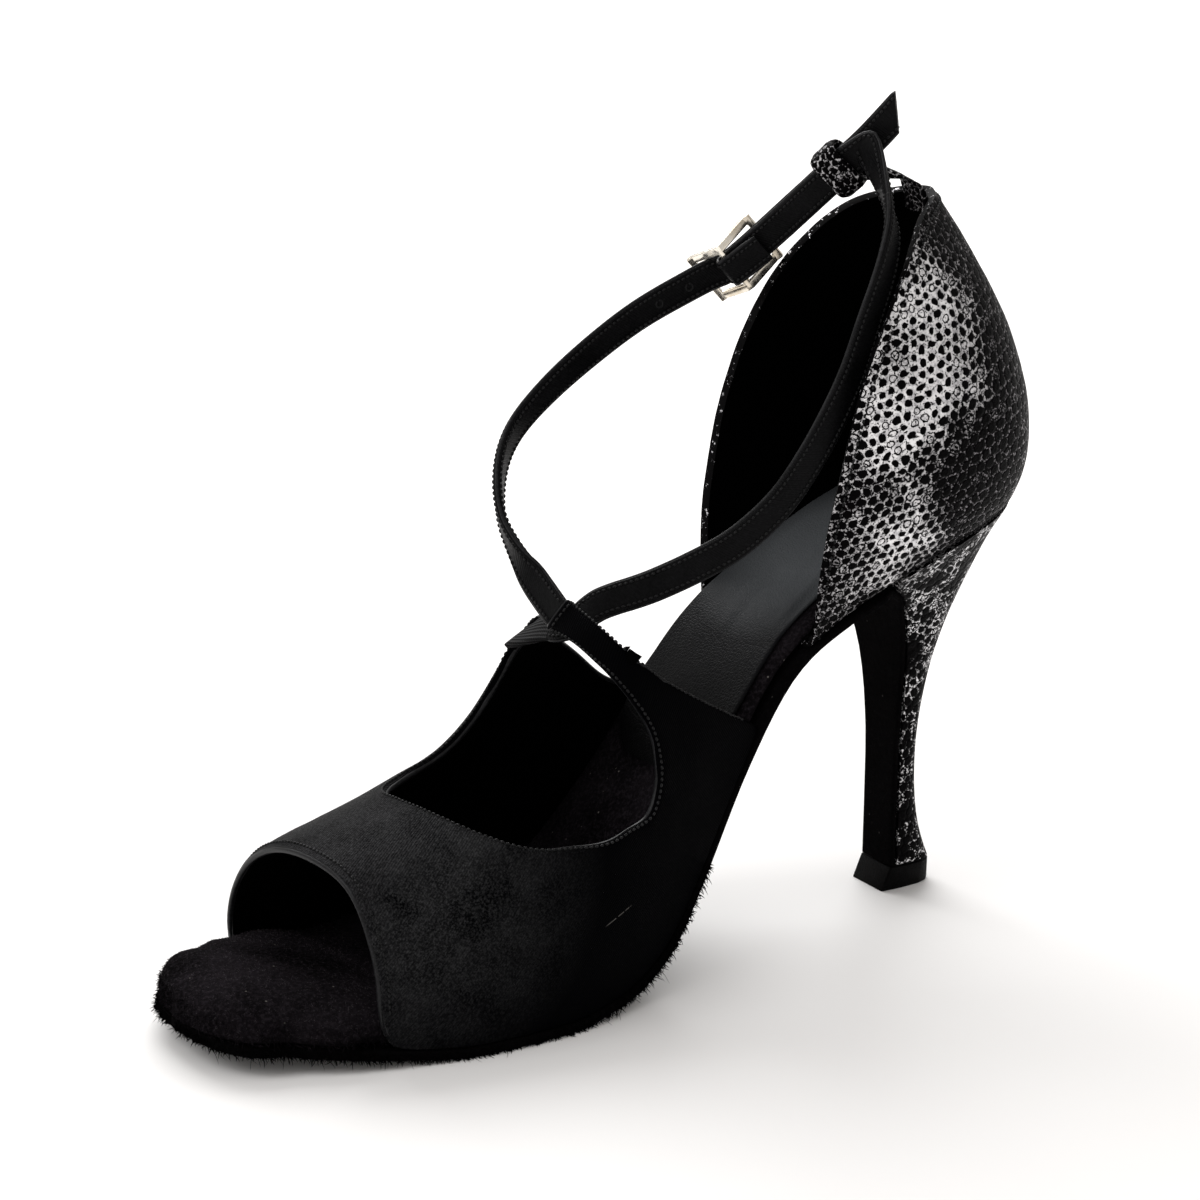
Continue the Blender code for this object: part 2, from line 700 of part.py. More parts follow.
def insole_inset(along, side):
    """Full width where it shows at the toe, then drawn in beside the upper's walls."""
    start, full = vamp_start(side)
    heel = COUNTER[-1].seat - INSET_CLEAR / SOLE_LENGTH
    waist = heel - 2 * INSET_FADE / SOLE_LENGTH
    bare = 2 * GAP / 3
    vamp = UPPER_INSET + VAMP_WALL + 1.5 * GAP
    counter = UPPER_INSET + COUNTER_WALL + 1.6 * GAP
    inset = hermite([start, full, waist, heel], [bare, vamp, vamp, counter], along)
    return inset / max(abs(seat_normal(along, side).y), 0.35)


def board_path(start, end, lift, half_width, bends=()):
    """Stations of a board over the outsole, with the half width that a function gives each side."""
    path = []
    for along in sorted(sole_stations(start, end) + list(bends)):
        normal = slope_normal(along)
        x = sole_x(along) + normal.x * lift
        z = underside(along) + normal.z * lift
        path.append((x, z, half_width(along, MEDIAL), half_width(along, LATERAL)))
    return path


def full_width(along, side):
    return sole_half(along, side) - insole_inset(along, side)


def make_insole(suede):
    lift = OUTSOLE_WALL + GAP
    path = board_path(BOARD_CUT / SOLE_LENGTH, INSOLE_END, lift, full_width, vamp_start(MEDIAL) + vamp_start(LATERAL))
    return new_object("insole", *slab(path, [INSOLE_WALL] * len(path)), suede)


# The sock's half widths, as shares of the waist's width: its near edge leaves the waist bare
SockRow = namedtuple("SockRow", "along medial lateral")
SOCK = [
    SockRow(0.608, 0.22, 0.36),
    SockRow(0.618, 0.27, 0.46),
    SockRow(0.640, 0.285, 0.60),
    SockRow(0.690, 0.270, 0.62),
    SockRow(0.730, 0.242, 0.62),
    SockRow(0.765, 0.232, 0.60),
    SockRow(0.810, 0.270, 0.60),
    SockRow(0.860, 0.360, 0.60),
    SockRow(0.910, 0.470, 0.60),
    SockRow(0.962, 0.500, 0.60),
]


def make_sock(leather):
    lift = OUTSOLE_WALL + GAP + INSOLE_WALL + GAP

    def half_width(along, side):
        share = read(SOCK, "along", "medial" if side == MEDIAL else "lateral", along)
        return min(share * WAIST_WIDTH, full_width(along, side) - SOCK_MARGIN)

    path = board_path(SOCK[0].along, SOCK[-1].along, lift, half_width)
    return new_object("sock", *slab(path, [SOCK_WALL] * len(path)), leather)


# Straps

def crossing():
    """Where the over strap crosses the ridge of the instep."""
    along = blend(NEAR_BACK[0].along, THROAT[0].along, 0.5)
    point = vamp_point(along, -0.06)
    return point + Vector((-CROSSING_LEAD, -point.y, CROSSING_LIFT))


def loop_centre():
    top_level = lay(1.0) + COUNTER_HEIGHT
    x = SOLE_LENGTH / 2 - COUNTER[0].forward * COUNTER_LENGTH - LOOP_BEHIND
    return Vector((x, LOOP_SIDE * ANKLE_WIDTH, top_level + LOOP_ABOVE))


def facing_vector(facing, tilt):
    turn, lift = math.radians(facing), math.radians(tilt)
    return Vector((-math.cos(turn) * math.cos(lift), math.sin(turn) * math.cos(lift), math.sin(lift)))


Station = namedtuple("Station", "point facing wall width across", defaults=(None,))


def route(rows, wall):
    start, end = crossing(), loop_centre()
    stations = []
    for row in rows:
        x = blend(start.x, end.x, row.forward)
        z = blend(start.z, end.z, row.rise)
        stations.append(Station(Vector((x, row.side * ANKLE_WIDTH, z)), facing_vector(row.facing, row.tilt),
                                wall, STRAP_WIDTH))
    return stations


def spline(stations, steps):
    """Smooth stations through the given ones (Catmull-Rom)."""
    fine = []
    last = len(stations) - 1
    for i in range(last):
        a = stations[max(i - 1, 0)]
        b = stations[i]
        c = stations[i + 1]
        d = stations[min(i + 2, last)]
        for k in range(steps):
            t = k / steps
            weights = (-0.5 * t + t * t - 0.5 * t ** 3, 1 - 2.5 * t * t + 1.5 * t ** 3,
                       0.5 * t + 2 * t * t - 1.5 * t ** 3, -0.5 * t * t + 0.5 * t ** 3)
            point = Vector()
            facing = Vector()
            for weight, station in zip(weights, (a, b, c, d)):
                point += station.point * weight
                facing += station.facing * weight
            across = b.across if k == 0 else None
            fine.append(Station(point, facing.normalized(), blend(b.wall, c.wall, t), blend(b.width, c.width, t),
                                across))
    fine.append(stations[-1])
    return fine


def frames(stations):
    """Tangent, outward normal and width direction at each station."""
    result = []
    for i, station in enumerate(stations):
        before = stations[max(i - 1, 0)].point
        after = stations[min(i + 1, len(stations) - 1)].point
        tangent = (after - before).normalized()
        normal = (station.facing - tangent * station.facing.dot(tangent)).normalized()
        result.append((tangent, normal, tangent.cross(normal)))
    return result


SLANT_RINGS = 3
TWIST_RINGS = 4


def ribbon(stations, slant=0.0, first=0, last=None):
    """Strip of rectangular section between two stations; slant cuts its far end obliquely."""
    rings = []
    for index, (station, (tangent, normal, across)) in list(enumerate(zip(stations, frames(stations))))[first:last]:
        if stations[0].across and index < TWIST_RINGS:
            across = stations[0].across.lerp(across, index / TWIST_RINGS)
            across = (across - normal * across.dot(normal)).normalized()
        half = station.width / 2
        wall = station.wall / 2
        rings.append([station.point + across * (u * half) + normal * (v * wall)
                      for u, v in ((-1, -1), (1, -1), (1, 1), (-1, 1))])
    tangent = frames(stations)[-1][0]
    for back in range(SLANT_RINGS):
        for corner, share in zip(rings[-1 - back], (-1, 1, 1, -1)):
            corner += tangent * slant * share * (1 - back / SLANT_RINGS)
    return loft(rings)


def last_normal(along, turn):
    """Outward normal of the last's surface."""
    step = 0.01
    forward = vamp_point(along + step, turn) - vamp_point(along - step, turn)
    around = vamp_point(along, turn + step) - vamp_point(along, turn - step)
    normal = around.cross(forward).normalized()
    return normal if normal.z > 0 else -normal


def wing_station(throat, back, onward, width):
    """Station just past a wing's end, whose end face lies along it."""
    inner = vamp_point(throat.along, throat.round)
    outer = vamp_point(back.along, back.round)
    middle = (inner + outer) / 2
    line = (outer - inner).normalized()
    face = last_normal(blend(throat.along, back.along, 0.5), blend(throat.round, back.round, 0.5))
    face = (face - line * face.dot(line)).normalized()
    run = face.cross(line)
    if run.dot(onward - middle) < 0:
        run = -run
    return Station(middle - face * VAMP_WALL / 2 + run * 2.5 * GAP, face, VAMP_WALL, width, run.cross(face))


def over_stations():
    onward = route(OVER_ROUTE, STRAP_WALL)
    return spline([wing_station(THROAT[0], NEAR_BACK[0], onward[0].point, STRAP_WIDTH)] + onward, 3)


def under_stations():
    onward = route(UNDER_ROUTE, STRAP_WALL)
    start = wing_station(THROAT[-1], FAR_BACK[-1], onward[0].point, ELASTIC_WIDTH)
    return spline(spline([start] + onward, 3) + fold_stations(), 1)


def buckle_frame():
    """Point on the over strap's middle at the buckle, with its tangent, normal and width direction."""
    stations = over_stations()
    index = BUCKLE_ROW * 3
    return (stations[index].point, *frames(stations)[index])


def loop_frame():
    stations = over_stations()
    index = LOOP_ROW * 3
    return (stations[index].point, *frames(stations)[index])


def bar_depth():
    """How far inside the over strap's middle the buckle's centre bar lies."""
    return STRAP_WALL / 2 + GAP + FOLD_WALL + GAP + BUCKLE_BAR / 2


def fold_stations():
    """The under strap's end, from the loop down to the buckle and round its bar."""
    loop_point, loop_tangent, loop_normal, _ = loop_frame()
    point, tangent, normal, _ = buckle_frame()
    layer = STRAP_WALL + GAP
    loop_layer = loop_point - loop_normal * layer
    stations = [Station(loop_layer + loop_tangent * reach, loop_normal, STRAP_WALL, STRAP_WIDTH)
                for reach in (1.25 * LOOP_WIDTH, 0.7 * LOOP_WIDTH, -0.6 * LOOP_WIDTH, -0.9 * LOOP_WIDTH)]
    thin = STRAP_WALL / 2 + GAP + FOLD_WALL / 2
    over = over_stations()
    over_frames = frames(over)
    for index, share in (((BUCKLE_ROW + 1) * 3, 0.45), (BUCKLE_ROW * 3 + 2, 0.9)):
        depth = blend(layer, thin, share)
        stations.append(Station(over[index].point - over_frames[index][1] * depth, over_frames[index][1],
                                blend(STRAP_WALL, FOLD_WALL, share), STRAP_WIDTH))
    rise = BUCKLE_BAR / 2 + GAP + FOLD_WALL / 2
    reach = rise + FOLD_SLACK
    bar = point - normal * bar_depth()
    for along_share, out_share in ((0, 1), (-0.78, 0.82), (-1, 0), (-0.78, -0.82), (0, -1)):
        spot = bar + tangent * along_share * reach + normal * out_share * rise
        facing = (tangent * along_share * 0.8 + normal * out_share).normalized()
        stations.append(Station(spot, facing, FOLD_WALL, STRAP_WIDTH))
    tail = bar - normal * rise + tangent * FOLD_TAIL
    stations.append(Station(tail, -normal, FOLD_WALL, STRAP_WIDTH))
    return stations


def make_strap_over(satin):
    strap = new_object("strap_over", *ribbon(over_stations(), TIP_SLANT), satin, 50)
    cut_slot(strap)
    return strap


def make_strap_under(satin):
    return new_object("strap_under", *ribbon(under_stations(), first=ELASTIC_END), satin, 50)


def cut_slot(strap):
    """Slot for the prong through the strap, beside the buckle's centre bar."""
    point, tangent, normal, across = buckle_frame()
    rings = []
    for depth in (-2 * STRAP_WALL, 2 * STRAP_WALL):
        rings.append([point + normal * depth + tangent * (u * SLOT_LENGTH / 2) + across * (v * (PRONG_WIDTH / 2 + GAP))
                      for u, v in ((-1, -1), (1, -1), (1, 1), (-1, 1))])
    cutter = new_object("slot_cutter", *loft(rings), strap.data.materials[0])
    cutter.hide_render = True
    cutter.display_type = "WIRE"
    cut = strap.modifiers.new("prong slot", "BOOLEAN")
    cut.operation = "DIFFERENCE"
    cut.solver = "EXACT"
    cut.object = cutter


def make_elastic(ribbed):
    """Short ribbed piece from the far wing's end to the under strap."""
    stations = under_stations()
    tangent = frames(stations)[ELASTIC_END][0]
    vertices, faces = ribbon(stations, last=ELASTIC_END + 1)
    for corner in vertices[-4:]:
        corner -= tangent * GAP
    return new_object("elastic", vertices, faces, ribbed)


def make_loop(skin):
    """Band round both straps, whose tab runs back to the top of the counter."""
    point, tangent, normal, across = loop_frame()
    middle = point - normal * (STRAP_WALL + GAP) / 2
    reach = STRAP_WALL + GAP / 2 + LOOP_SLACK + LOOP_WALL / 2
    side = STRAP_WIDTH / 2 + LOOP_SLACK + LOOP_WALL / 2
    top = Vector((SOLE_LENGTH / 2 - COUNTER[0].forward * COUNTER_LENGTH, 0, lay(1.0) + COUNTER_HEIGHT))
    inside_top = top - Vector((COUNTER_WALL + 4 * GAP + LOOP_WALL, 0, 0))
    stations = [
        Station(inside_top + Vector((GAP, 0, -TAB_HANG)), Vector((1, 0, 0.2)), LOOP_WALL, TAB_WIDTH),
        Station(inside_top + Vector((-3 * GAP, 0, GAP)), Vector((0.8, 0, 0.6)), LOOP_WALL, TAB_WIDTH),
        Station(inside_top + Vector((-TAB_HANG, GAP, TAB_LIFT)), Vector((0.3, 0, 0.95)), LOOP_WALL, TAB_WIDTH),
    ]
    turns = [(1.0, -0.2), (1.0, 0.45), (0.75, 0.95), (0.0, 1.08), (-0.75, 0.95), (-1.0, 0.45),
             (-1.0, -0.45), (-0.75, -0.95), (0.0, -1.08)]
    for n, w in turns:
        spot = middle + normal * (n * reach) + across * (w * side)
        stations.append(Station(spot, (normal * n * side + across * w * reach).normalized(), LOOP_WALL, LOOP_WIDTH))
    return new_object("loop", *ribbon(stations), skin)


def make_buckle(metal):
    """Rectangular frame, bowed so that its centre bar lies inside the strap and its ends outside."""
    point, tangent, normal, across = buckle_frame()
    end_height = STRAP_WALL / 2 + 4 * GAP + BUCKLE_BAR / 2
    half_length = BUCKLE_LENGTH / 2
    half_width = BUCKLE_WIDTH / 2
    bar = BUCKLE_BAR
    lengths = [-half_length, -half_length + bar, -bar / 2, bar / 2, half_length - bar, half_length]
    widths = [-half_width, -half_width + BUCKLE_SIDE, half_width - BUCKLE_SIDE, half_width]

    def height(u):
        share = min(max((abs(u) - bar / 2) / (half_length - 1.5 * bar), 0), 1)
        return blend(-bar_depth(), end_height, share)

    def place(u, v, face):
        return point + tangent * u + across * v + normal * (height(u) + face * bar / 2)

    vertices = [place(u, v, face) for face in (-1, 1) for u in lengths for v in widths]
    layer = len(lengths) * len(widths)
    holes = {(1, 1), (3, 1)}
    solid = [(i, j) for i in range(5) for j in range(3) if (i, j) not in holes]
    faces = []

    def corner(i, j, face):
        return face * layer + i * len(widths) + j

    for i, j in solid:
        low = [corner(i, j, 0), corner(i, j + 1, 0), corner(i + 1, j + 1, 0), corner(i + 1, j, 0)]
        faces.append(tuple(low))
        faces.append(tuple(c + layer for c in reversed(low)))
        around = (((i - 1, j), low[0], low[1]), ((i, j + 1), low[1], low[2]),
                  ((i + 1, j), low[2], low[3]), ((i, j - 1), low[3], low[0]))
        for cell, a, b in around:
            if cell not in solid:
                faces.append((b, a, a + layer, b + layer))
    return new_object("buckle", vertices, faces, metal)


def make_prong(metal):
    """Pin from the centre bar up through the slot and down on the frame's far end."""
    point, tangent, normal, across = buckle_frame()
    start = -bar_depth() + BUCKLE_BAR / 2 + GAP
    outside = STRAP_WALL / 2 + 4 * GAP + BUCKLE_BAR + GAP + 0.5 * PRONG_WIDTH
    half_length = BUCKLE_LENGTH / 2
    foot = start + 1.9 * PRONG_WIDTH
    spots = [(-0.6 * PRONG_WIDTH, foot), (-0.6 * PRONG_WIDTH, outside - 1.4 * PRONG_WIDTH),
             (0.5 * PRONG_WIDTH, outside - 0.3 * PRONG_WIDTH), (2.5 * PRONG_WIDTH, outside),
             (half_length - BUCKLE_BAR / 2, outside), (half_length - 0.2 * PRONG_WIDTH, outside)]
    stations = []
    for k, (u, h) in enumerate(spots):
        face = -tangent if k < 2 else (normal - tangent if k == 2 else normal)
        stations.append(Station(point + tangent * u + normal * h, face.normalized(), PRONG_WIDTH * 0.8, PRONG_WIDTH))
    return new_object("prong", *ribbon(stations), metal)


def clear_scene():
    for thing in list(bpy.data.objects):
        bpy.data.objects.remove(thing)


def stand_at_origin():
    """Moves every mesh so that the origin is at the bottom centre of the whole shoe."""
    bpy.context.view_layer.update()
    things = list(bpy.context.scene.objects)
    solids = [thing for thing in things if not thing.hide_render]
    xs = [v.co.x for thing in solids for v in thing.data.vertices]
    ys = [v.co.y for thing in solids for v in thing.data.vertices]
    zs = [v.co.z for thing in solids for v in thing.data.vertices]
    shift = Vector((-(min(xs) + max(xs)) / 2, -(min(ys) + max(ys)) / 2, -min(zs)))
    for thing in things:
        for v in thing.data.vertices:
            v.co += shift
    print("shift in mm:", [round(c / MM, 3) for c in shift])
    print("box in mm:", [round((max(c) - min(c)) / MM, 2) for c in (xs, ys, zs)])


def build():
    clear_scene()
    suede = material("black suede", (0.012, 0.012, 0.013), 0.95)
    satin = material("black satin", (0.014, 0.014, 0.016), 0.55)
    leather = material("grey sock leather", (0.045, 0.047, 0.052), 0.5)
    snake = material("silver snake print", (0.30, 0.29, 0.29), 0.35, 0.4)
    rubber = material("black top piece", (0.02, 0.02, 0.02), 0.6)
    ribbed = material("ribbed elastic", (0.05, 0.05, 0.055), 0.8)
    metal = material("pale gold metal", (0.75, 0.68, 0.56), 0.3, 1.0)
    make_outsole(suede)
    make_insole(suede)
    make_sock(leather)
    make_vamp(satin)
    make_counter(snake)
    make_heel(snake)
    make_heel_tip(rubber)
    make_strap_over(satin)
    make_strap_under(satin)
    make_elastic(ribbed)
    make_loop(snake)
    make_buckle(metal)
    make_prong(metal)
    stand_at_origin()


build()
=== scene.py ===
# %% [markdown]
# # A ballroom dance shoe, from bare solids to leather, satin and suede
# The shoe's plain solids come from CAD and are loaded as a fixed frame. This lesson dresses
# them: every soft part is modelled again as the sheet, strap or board that it really is, in
# the place that its solid holds, and then gets its stitches, its lining and its finish.

# %% Load the frame
import bisect
import itertools
import math
import random

import bmesh
import bpy
import numpy as np
from mathutils import Matrix, Vector, noise
from mathutils.bvhtree import BVHTree


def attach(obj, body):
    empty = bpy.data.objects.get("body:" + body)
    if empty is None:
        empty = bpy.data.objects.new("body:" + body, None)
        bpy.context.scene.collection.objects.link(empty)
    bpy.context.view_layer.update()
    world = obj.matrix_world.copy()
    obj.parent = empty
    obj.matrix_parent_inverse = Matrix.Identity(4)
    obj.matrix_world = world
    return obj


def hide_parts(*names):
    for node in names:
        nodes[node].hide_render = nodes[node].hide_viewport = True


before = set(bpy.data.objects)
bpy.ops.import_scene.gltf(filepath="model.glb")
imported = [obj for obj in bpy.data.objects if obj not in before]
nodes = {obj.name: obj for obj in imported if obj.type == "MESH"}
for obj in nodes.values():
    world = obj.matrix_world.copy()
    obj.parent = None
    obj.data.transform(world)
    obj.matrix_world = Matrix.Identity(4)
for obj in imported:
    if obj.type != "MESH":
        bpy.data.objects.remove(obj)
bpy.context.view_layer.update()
MM = 0.001
print("CAD nodes:", sorted(nodes))

# %% [markdown]
# ## Small helpers
# Operators act on all that is selected, so every step starts by selecting one object only.
# A CAD node is never changed. A copy of its mesh is merged first, because it comes as loose
# triangles, and its pairs of triangles are turned back into quads, which subdivide smoothly.

# %% Selecting and copying
SAME_POINT = 0.002 * MM
PAIRED = {"face_threshold": math.radians(60), "shape_threshold": math.radians(70)}
OUTWARD = (bpy.ops.mesh.normals_make_consistent, {"inside": False})


def select_only(piece):
    if bpy.context.mode != "OBJECT":
        bpy.ops.object.mode_set(mode="OBJECT")
    bpy.ops.object.select_all(action="DESELECT")
    piece.select_set(True)
    bpy.context.view_layer.objects.active = piece


def new_piece(name, data):
    piece = bpy.data.objects.new(name, data)
    bpy.context.scene.collection.objects.link(piece)
    return piece


def edit_all(piece, *steps):
    """Runs operators with their settings on all of a piece, in edit mode."""
    select_only(piece)
    bpy.ops.object.mode_set(mode="EDIT")
    bpy.ops.mesh.select_all(action="SELECT")
    for operator, settings in steps:
        operator(**settings)
    bpy.ops.object.mode_set(mode="OBJECT")


def merged_copy(node, name, quads=True):
    """A new object with its own merged copy of a CAD node's mesh, in quads where it can be."""
    piece = new_piece(name, nodes[node].data.copy())
    piece.data.name = name
    piece.data.materials.clear()
    steps = [(bpy.ops.mesh.remove_doubles, {"threshold": SAME_POINT})]
    if quads:
        steps.append((bpy.ops.mesh.tris_convert_to_quads, PAIRED))
    edit_all(piece, *steps)
    if piece.data.has_custom_normals:
        bpy.ops.mesh.customdata_custom_splitnormals_clear()
    print(name, "starts with", len(piece.data.polygons), "faces of the node", node)
    return piece


def apply_all(piece):
    select_only(piece)
    for modifier in list(piece.modifiers):
        bpy.ops.object.modifier_apply(modifier=modifier.name)


def shade(piece, degrees=40):
    select_only(piece)
    bpy.ops.object.shade_smooth_by_angle(angle=math.radians(degrees))


def subdivide(piece, levels):
    modifier = piece.modifiers.new("smooth form", "SUBSURF")
    modifier.levels = levels
    modifier.render_levels = levels
    modifier.boundary_smooth = "PRESERVE_CORNERS"
    apply_all(piece)


def bevel(piece, width, segments=3, degrees=50):
    modifier = piece.modifiers.new("worn edges", "BEVEL")
    modifier.width = width
    modifier.segments = segments
    modifier.limit_method = "ANGLE"
    modifier.angle_limit = math.radians(degrees)
    apply_all(piece)


# %% [markdown]
# ## Smooth patches
# A wall has an outer side, an inner side and a rim, divided by sharp edges. Walking over all
# edges that aren't sharp collects each side, so that one of them can be kept on its own.

# %% Finding the sides of a wall
def smooth_patches(mesh, degrees):
    """Groups of face numbers joined across edges flatter than the angle, largest first."""
    shape = bmesh.new()
    shape.from_mesh(mesh)
    shape.faces.ensure_lookup_table()
    seen = set()
    groups = []
    for face in shape.faces:
        if face.index in seen:
            continue
        seen.add(face.index)
        group = [face]
        for current in group:
            for edge in current.edges:
                if len(edge.link_faces) != 2 or edge.calc_face_angle() > math.radians(degrees):
                    continue
                for other in edge.link_faces:
                    if other.index not in seen:
                        seen.add(other.index)
                        group.append(other)
        groups.append((sum(f.calc_area() for f in group), [f.index for f in group]))
    shape.free()
    groups.sort(reverse=True)
    return [indices for area, indices in groups]


def keep_faces(piece, indices):
    edit_all(piece, (bpy.ops.mesh.select_mode, {"type": "FACE"}))
    kept = set(indices)
    for polygon in piece.data.polygons:
        polygon.select = polygon.index not in kept
    bpy.ops.object.mode_set(mode="EDIT")
    bpy.ops.mesh.delete(type="FACE")
    bpy.ops.object.mode_set(mode="OBJECT")


def outer_sheet(node, name, inside, degrees=62):
    """The outer side of a hollow node as a sheet of quads."""
    piece = merged_copy(node, name)
    best = None
    for indices in smooth_patches(piece.data, degrees)[:3]:
        facing = 0.0
        for index in indices:
            polygon = piece.data.polygons[index]
            outward = (polygon.center - inside(polygon.center)).normalized()
            facing += polygon.area * polygon.normal.dot(outward)
        if best is None or facing > best[0]:
            best = (facing, indices)
    keep_faces(piece, best[1])
    corners = [len(p.vertices) for p in piece.data.polygons]
    print(name, "sheet has", corners.count(4), "quads and", corners.count(3), "triangles")
    return piece


# %% [markdown]
# ## Shader helpers
# A material is a small tree of nodes. Effects that more than one material uses are node
# groups with named sockets: they give out masks and heights, and each material decides what
# to do with them.

# %% Building nodes
def add_node(tree, kind, values=None, **settings):
    made = tree.nodes.new(kind)
    for key, value in settings.items():
        setattr(made, key, value)
    for socket, value in (values or {}).items():
        if isinstance(value, bpy.types.NodeSocket):
            tree.links.new(value, made.inputs[socket])
        else:
            made.inputs[socket].default_value = value
    return made


def math_node(tree, operation, *values):
    return add_node(tree, "ShaderNodeMath", dict(enumerate(values)), operation=operation).outputs[0]


def times(tree, a, b):
    return math_node(tree, "MULTIPLY", a, b)


def times_plus(tree, a, b, c):
    return math_node(tree, "MULTIPLY_ADD", a, b, c)


def vector_node(tree, operation, *values):
    made = add_node(tree, "ShaderNodeVectorMath", dict(enumerate(values)), operation=operation)
    return made.outputs["Value" if operation in ("DISTANCE", "DOT_PRODUCT", "LENGTH") else "Vector"]


def mix_colour(tree, factor, *colours):
    """Mixes two colours, each a socket or red, green and blue."""
    a, b = ((*c, 1) if isinstance(c, tuple) else c for c in colours)
    return add_node(tree, "ShaderNodeMix", {0: factor, 6: a, 7: b}, data_type="RGBA").outputs[2]


def spread(tree, value, low, high, start=0.0, end=1.0):
    made = add_node(tree, "ShaderNodeMapRange", {0: value, 1: low, 2: high, 3: start, 4: end})
    return made.outputs[0]


def new_material(name):
    material = bpy.data.materials.new(name)
    material.use_nodes = True
    return material, material.node_tree, material.node_tree.nodes["Principled BSDF"]


def finish_surface(tree, surface, constants, links):
    for name, value in constants.items():
        surface.inputs[name].default_value = value
    for name, socket in links.items():
        tree.links.new(socket, surface.inputs[name])


def bump(tree, height, distance, strength=1.0):
    values = {"Height": height, "Distance": distance, "Strength": strength}
    return add_node(tree, "ShaderNodeBump", values).outputs[0]


# %% [markdown]
# ## Effects shared by several materials
# The shoe has a twill, a suede nap, a leather grain and a printed foil. Each is a node group
# that works in metres, on Object coordinates or on a map that follows the surface.

# %% Twill, nap and grain
def new_group(name, numbers, *results):
    """A node group on a vector and numbers: its tree, its input sockets and what links its results."""
    tree = bpy.data.node_groups.new(name, "ShaderNodeTree")
    tree.interface.new_socket("Vector", in_out="INPUT", socket_type="NodeSocketVector")
    for label, value in numbers.items():
        tree.interface.new_socket(label, in_out="INPUT", socket_type="NodeSocketFloat").default_value = value
    for label in results:
        tree.interface.new_socket(label, in_out="OUTPUT", socket_type="NodeSocketFloat")
    leave = tree.nodes.new("NodeGroupOutput")

    def give(*sockets):
        for label, socket in zip(results, sockets):
            tree.links.new(socket, leave.inputs[label])

    return tree, tree.nodes.new("NodeGroupInput").outputs, give


def use_group(tree, group, values):
    return add_node(tree, "ShaderNodeGroup", values, node_tree=group)


def noise_at(tree, vector, scale, detail=2.0, roughness=0.5):
    values = {"Vector": vector, "Scale": scale, "Detail": detail, "Roughness": roughness}
    return add_node(tree, "ShaderNodeTexNoise", values).outputs[0]


def object_place(tree):
    return add_node(tree, "ShaderNodeTexCoord").outputs["Object"]


def speckle(tree, *settings):
    """Noise on Object coordinates, with its scale, detail and roughness."""
    return noise_at(tree, object_place(tree), *settings)


def axes(tree, vector):
    return add_node(tree, "ShaderNodeSeparateXYZ", {0: vector}).outputs


def wave(tree, value, factor):
    return math_node(tree, "SINE", times(tree, value, factor))


twill, entry, give = new_group("twill", {"Pitch": 0.0007}, "Height", "Thread")
place = axes(twill, entry["Vector"])
turn = math_node(twill, "DIVIDE", 2 * math.pi, entry["Pitch"])
ribs = wave(twill, times_plus(twill, place[1], 0.55, place[0]), turn)
weft = wave(twill, place[1], times(twill, turn, 1.6))
uneven = noise_at(twill, entry["Vector"], 900.0, 3.0)
height = times_plus(twill, weft, 0.25, ribs)
# Thread is the weave's height from 0 to 1; materials use it to paint the low threads darker, as painted shade
# in the grooves.
give(times_plus(twill, uneven, 3.0, height), spread(twill, height, -1.0, 1.0))

nap, entry, give = new_group("suede nap", {}, "Height", "Brushed", "Lint")
vector = entry["Vector"]
hairs = noise_at(nap, vector, 2600.0, 4.0, 0.7)
clumps = noise_at(nap, vector, 420.0, 3.0, 0.6)
brushed = spread(nap, noise_at(nap, vector, 60.0, 2.0), 0.35, 0.65, 0.0, 0.4)
flecks = spread(nap, noise_at(nap, vector, 1100.0, 4.0, 0.75), 0.46, 0.64)
specks = add_node(nap, "ShaderNodeTexVoronoi", {"Vector": vector, "Scale": 300.0})
threads = times(nap, spread(nap, specks.outputs["Distance"], 0.09, 0.03), spread(nap, clumps, 0.5, 0.56))
give(times_plus(nap, clumps, 1.5, hairs), times_plus(nap, flecks, 0.6, brushed), threads)

grain, entry, give = new_group("leather grain", {"Scale": 1300.0}, "Height", "Mottle")
vector = entry["Vector"]
cells = add_node(grain, "ShaderNodeTexVoronoi", {"Vector": vector, "Scale": entry["Scale"]},
                 feature="DISTANCE_TO_EDGE")
fine = noise_at(grain, vector, 3000.0, 3.0)
give(times_plus(grain, fine, 0.4, spread(grain, cells.outputs[0], 0.0, 0.25)),
     noise_at(grain, vector, 110.0, 3.0))
print("node groups:", [group.name for group in bpy.data.node_groups])

# %% [markdown]
# The printed leather carries a silver foil in the shape of scales: black rounds in staggered
# rows with foil between them. Where the foil is broad the rounds are small and the leather
# looks bright; where it is thin only a net of fine lines is left. Some rounds are foil too.

# %% The foil scales
# Rows stand closer than columns. The other lengths are shares of the pitch.
ROW_STEP, SQUASH = 0.86, 0.94
SMALL_ROUND, LARGE_ROUND, ROUND_SPREAD = 0.345, 0.460, 0.09

scales, entry, give = new_group("foil scales", {"Pitch": 0.0027, "Ink": 0.5, "Filled": 0.9}, "Foil", "Height")
where, pitch, ink = (entry[name] for name in ("Vector", "Pitch", "Ink"))
drift = add_node(scales, "ShaderNodeTexNoise", {"Vector": where, "Scale": 260.0, "Detail": 2.0})
shift = vector_node(scales, "SUBTRACT", drift.outputs[1], (0.5, 0.5, 0.5))
moved = vector_node(scales, "MULTIPLY_ADD", shift, (0.0022, 0.0022, 0.0), where)
place = axes(scales, moved)
across = math_node(scales, "DIVIDE", place[0], pitch)
along = math_node(scales, "DIVIDE", place[1], times(scales, pitch, ROW_STEP))
row = math_node(scales, "FLOOR", along)
odd = math_node(scales, "MODULO", math_node(scales, "ADD", row, 4000.0), 2.0)
staggered = times_plus(scales, odd, 0.5, across)
column = math_node(scales, "FLOOR", staggered)
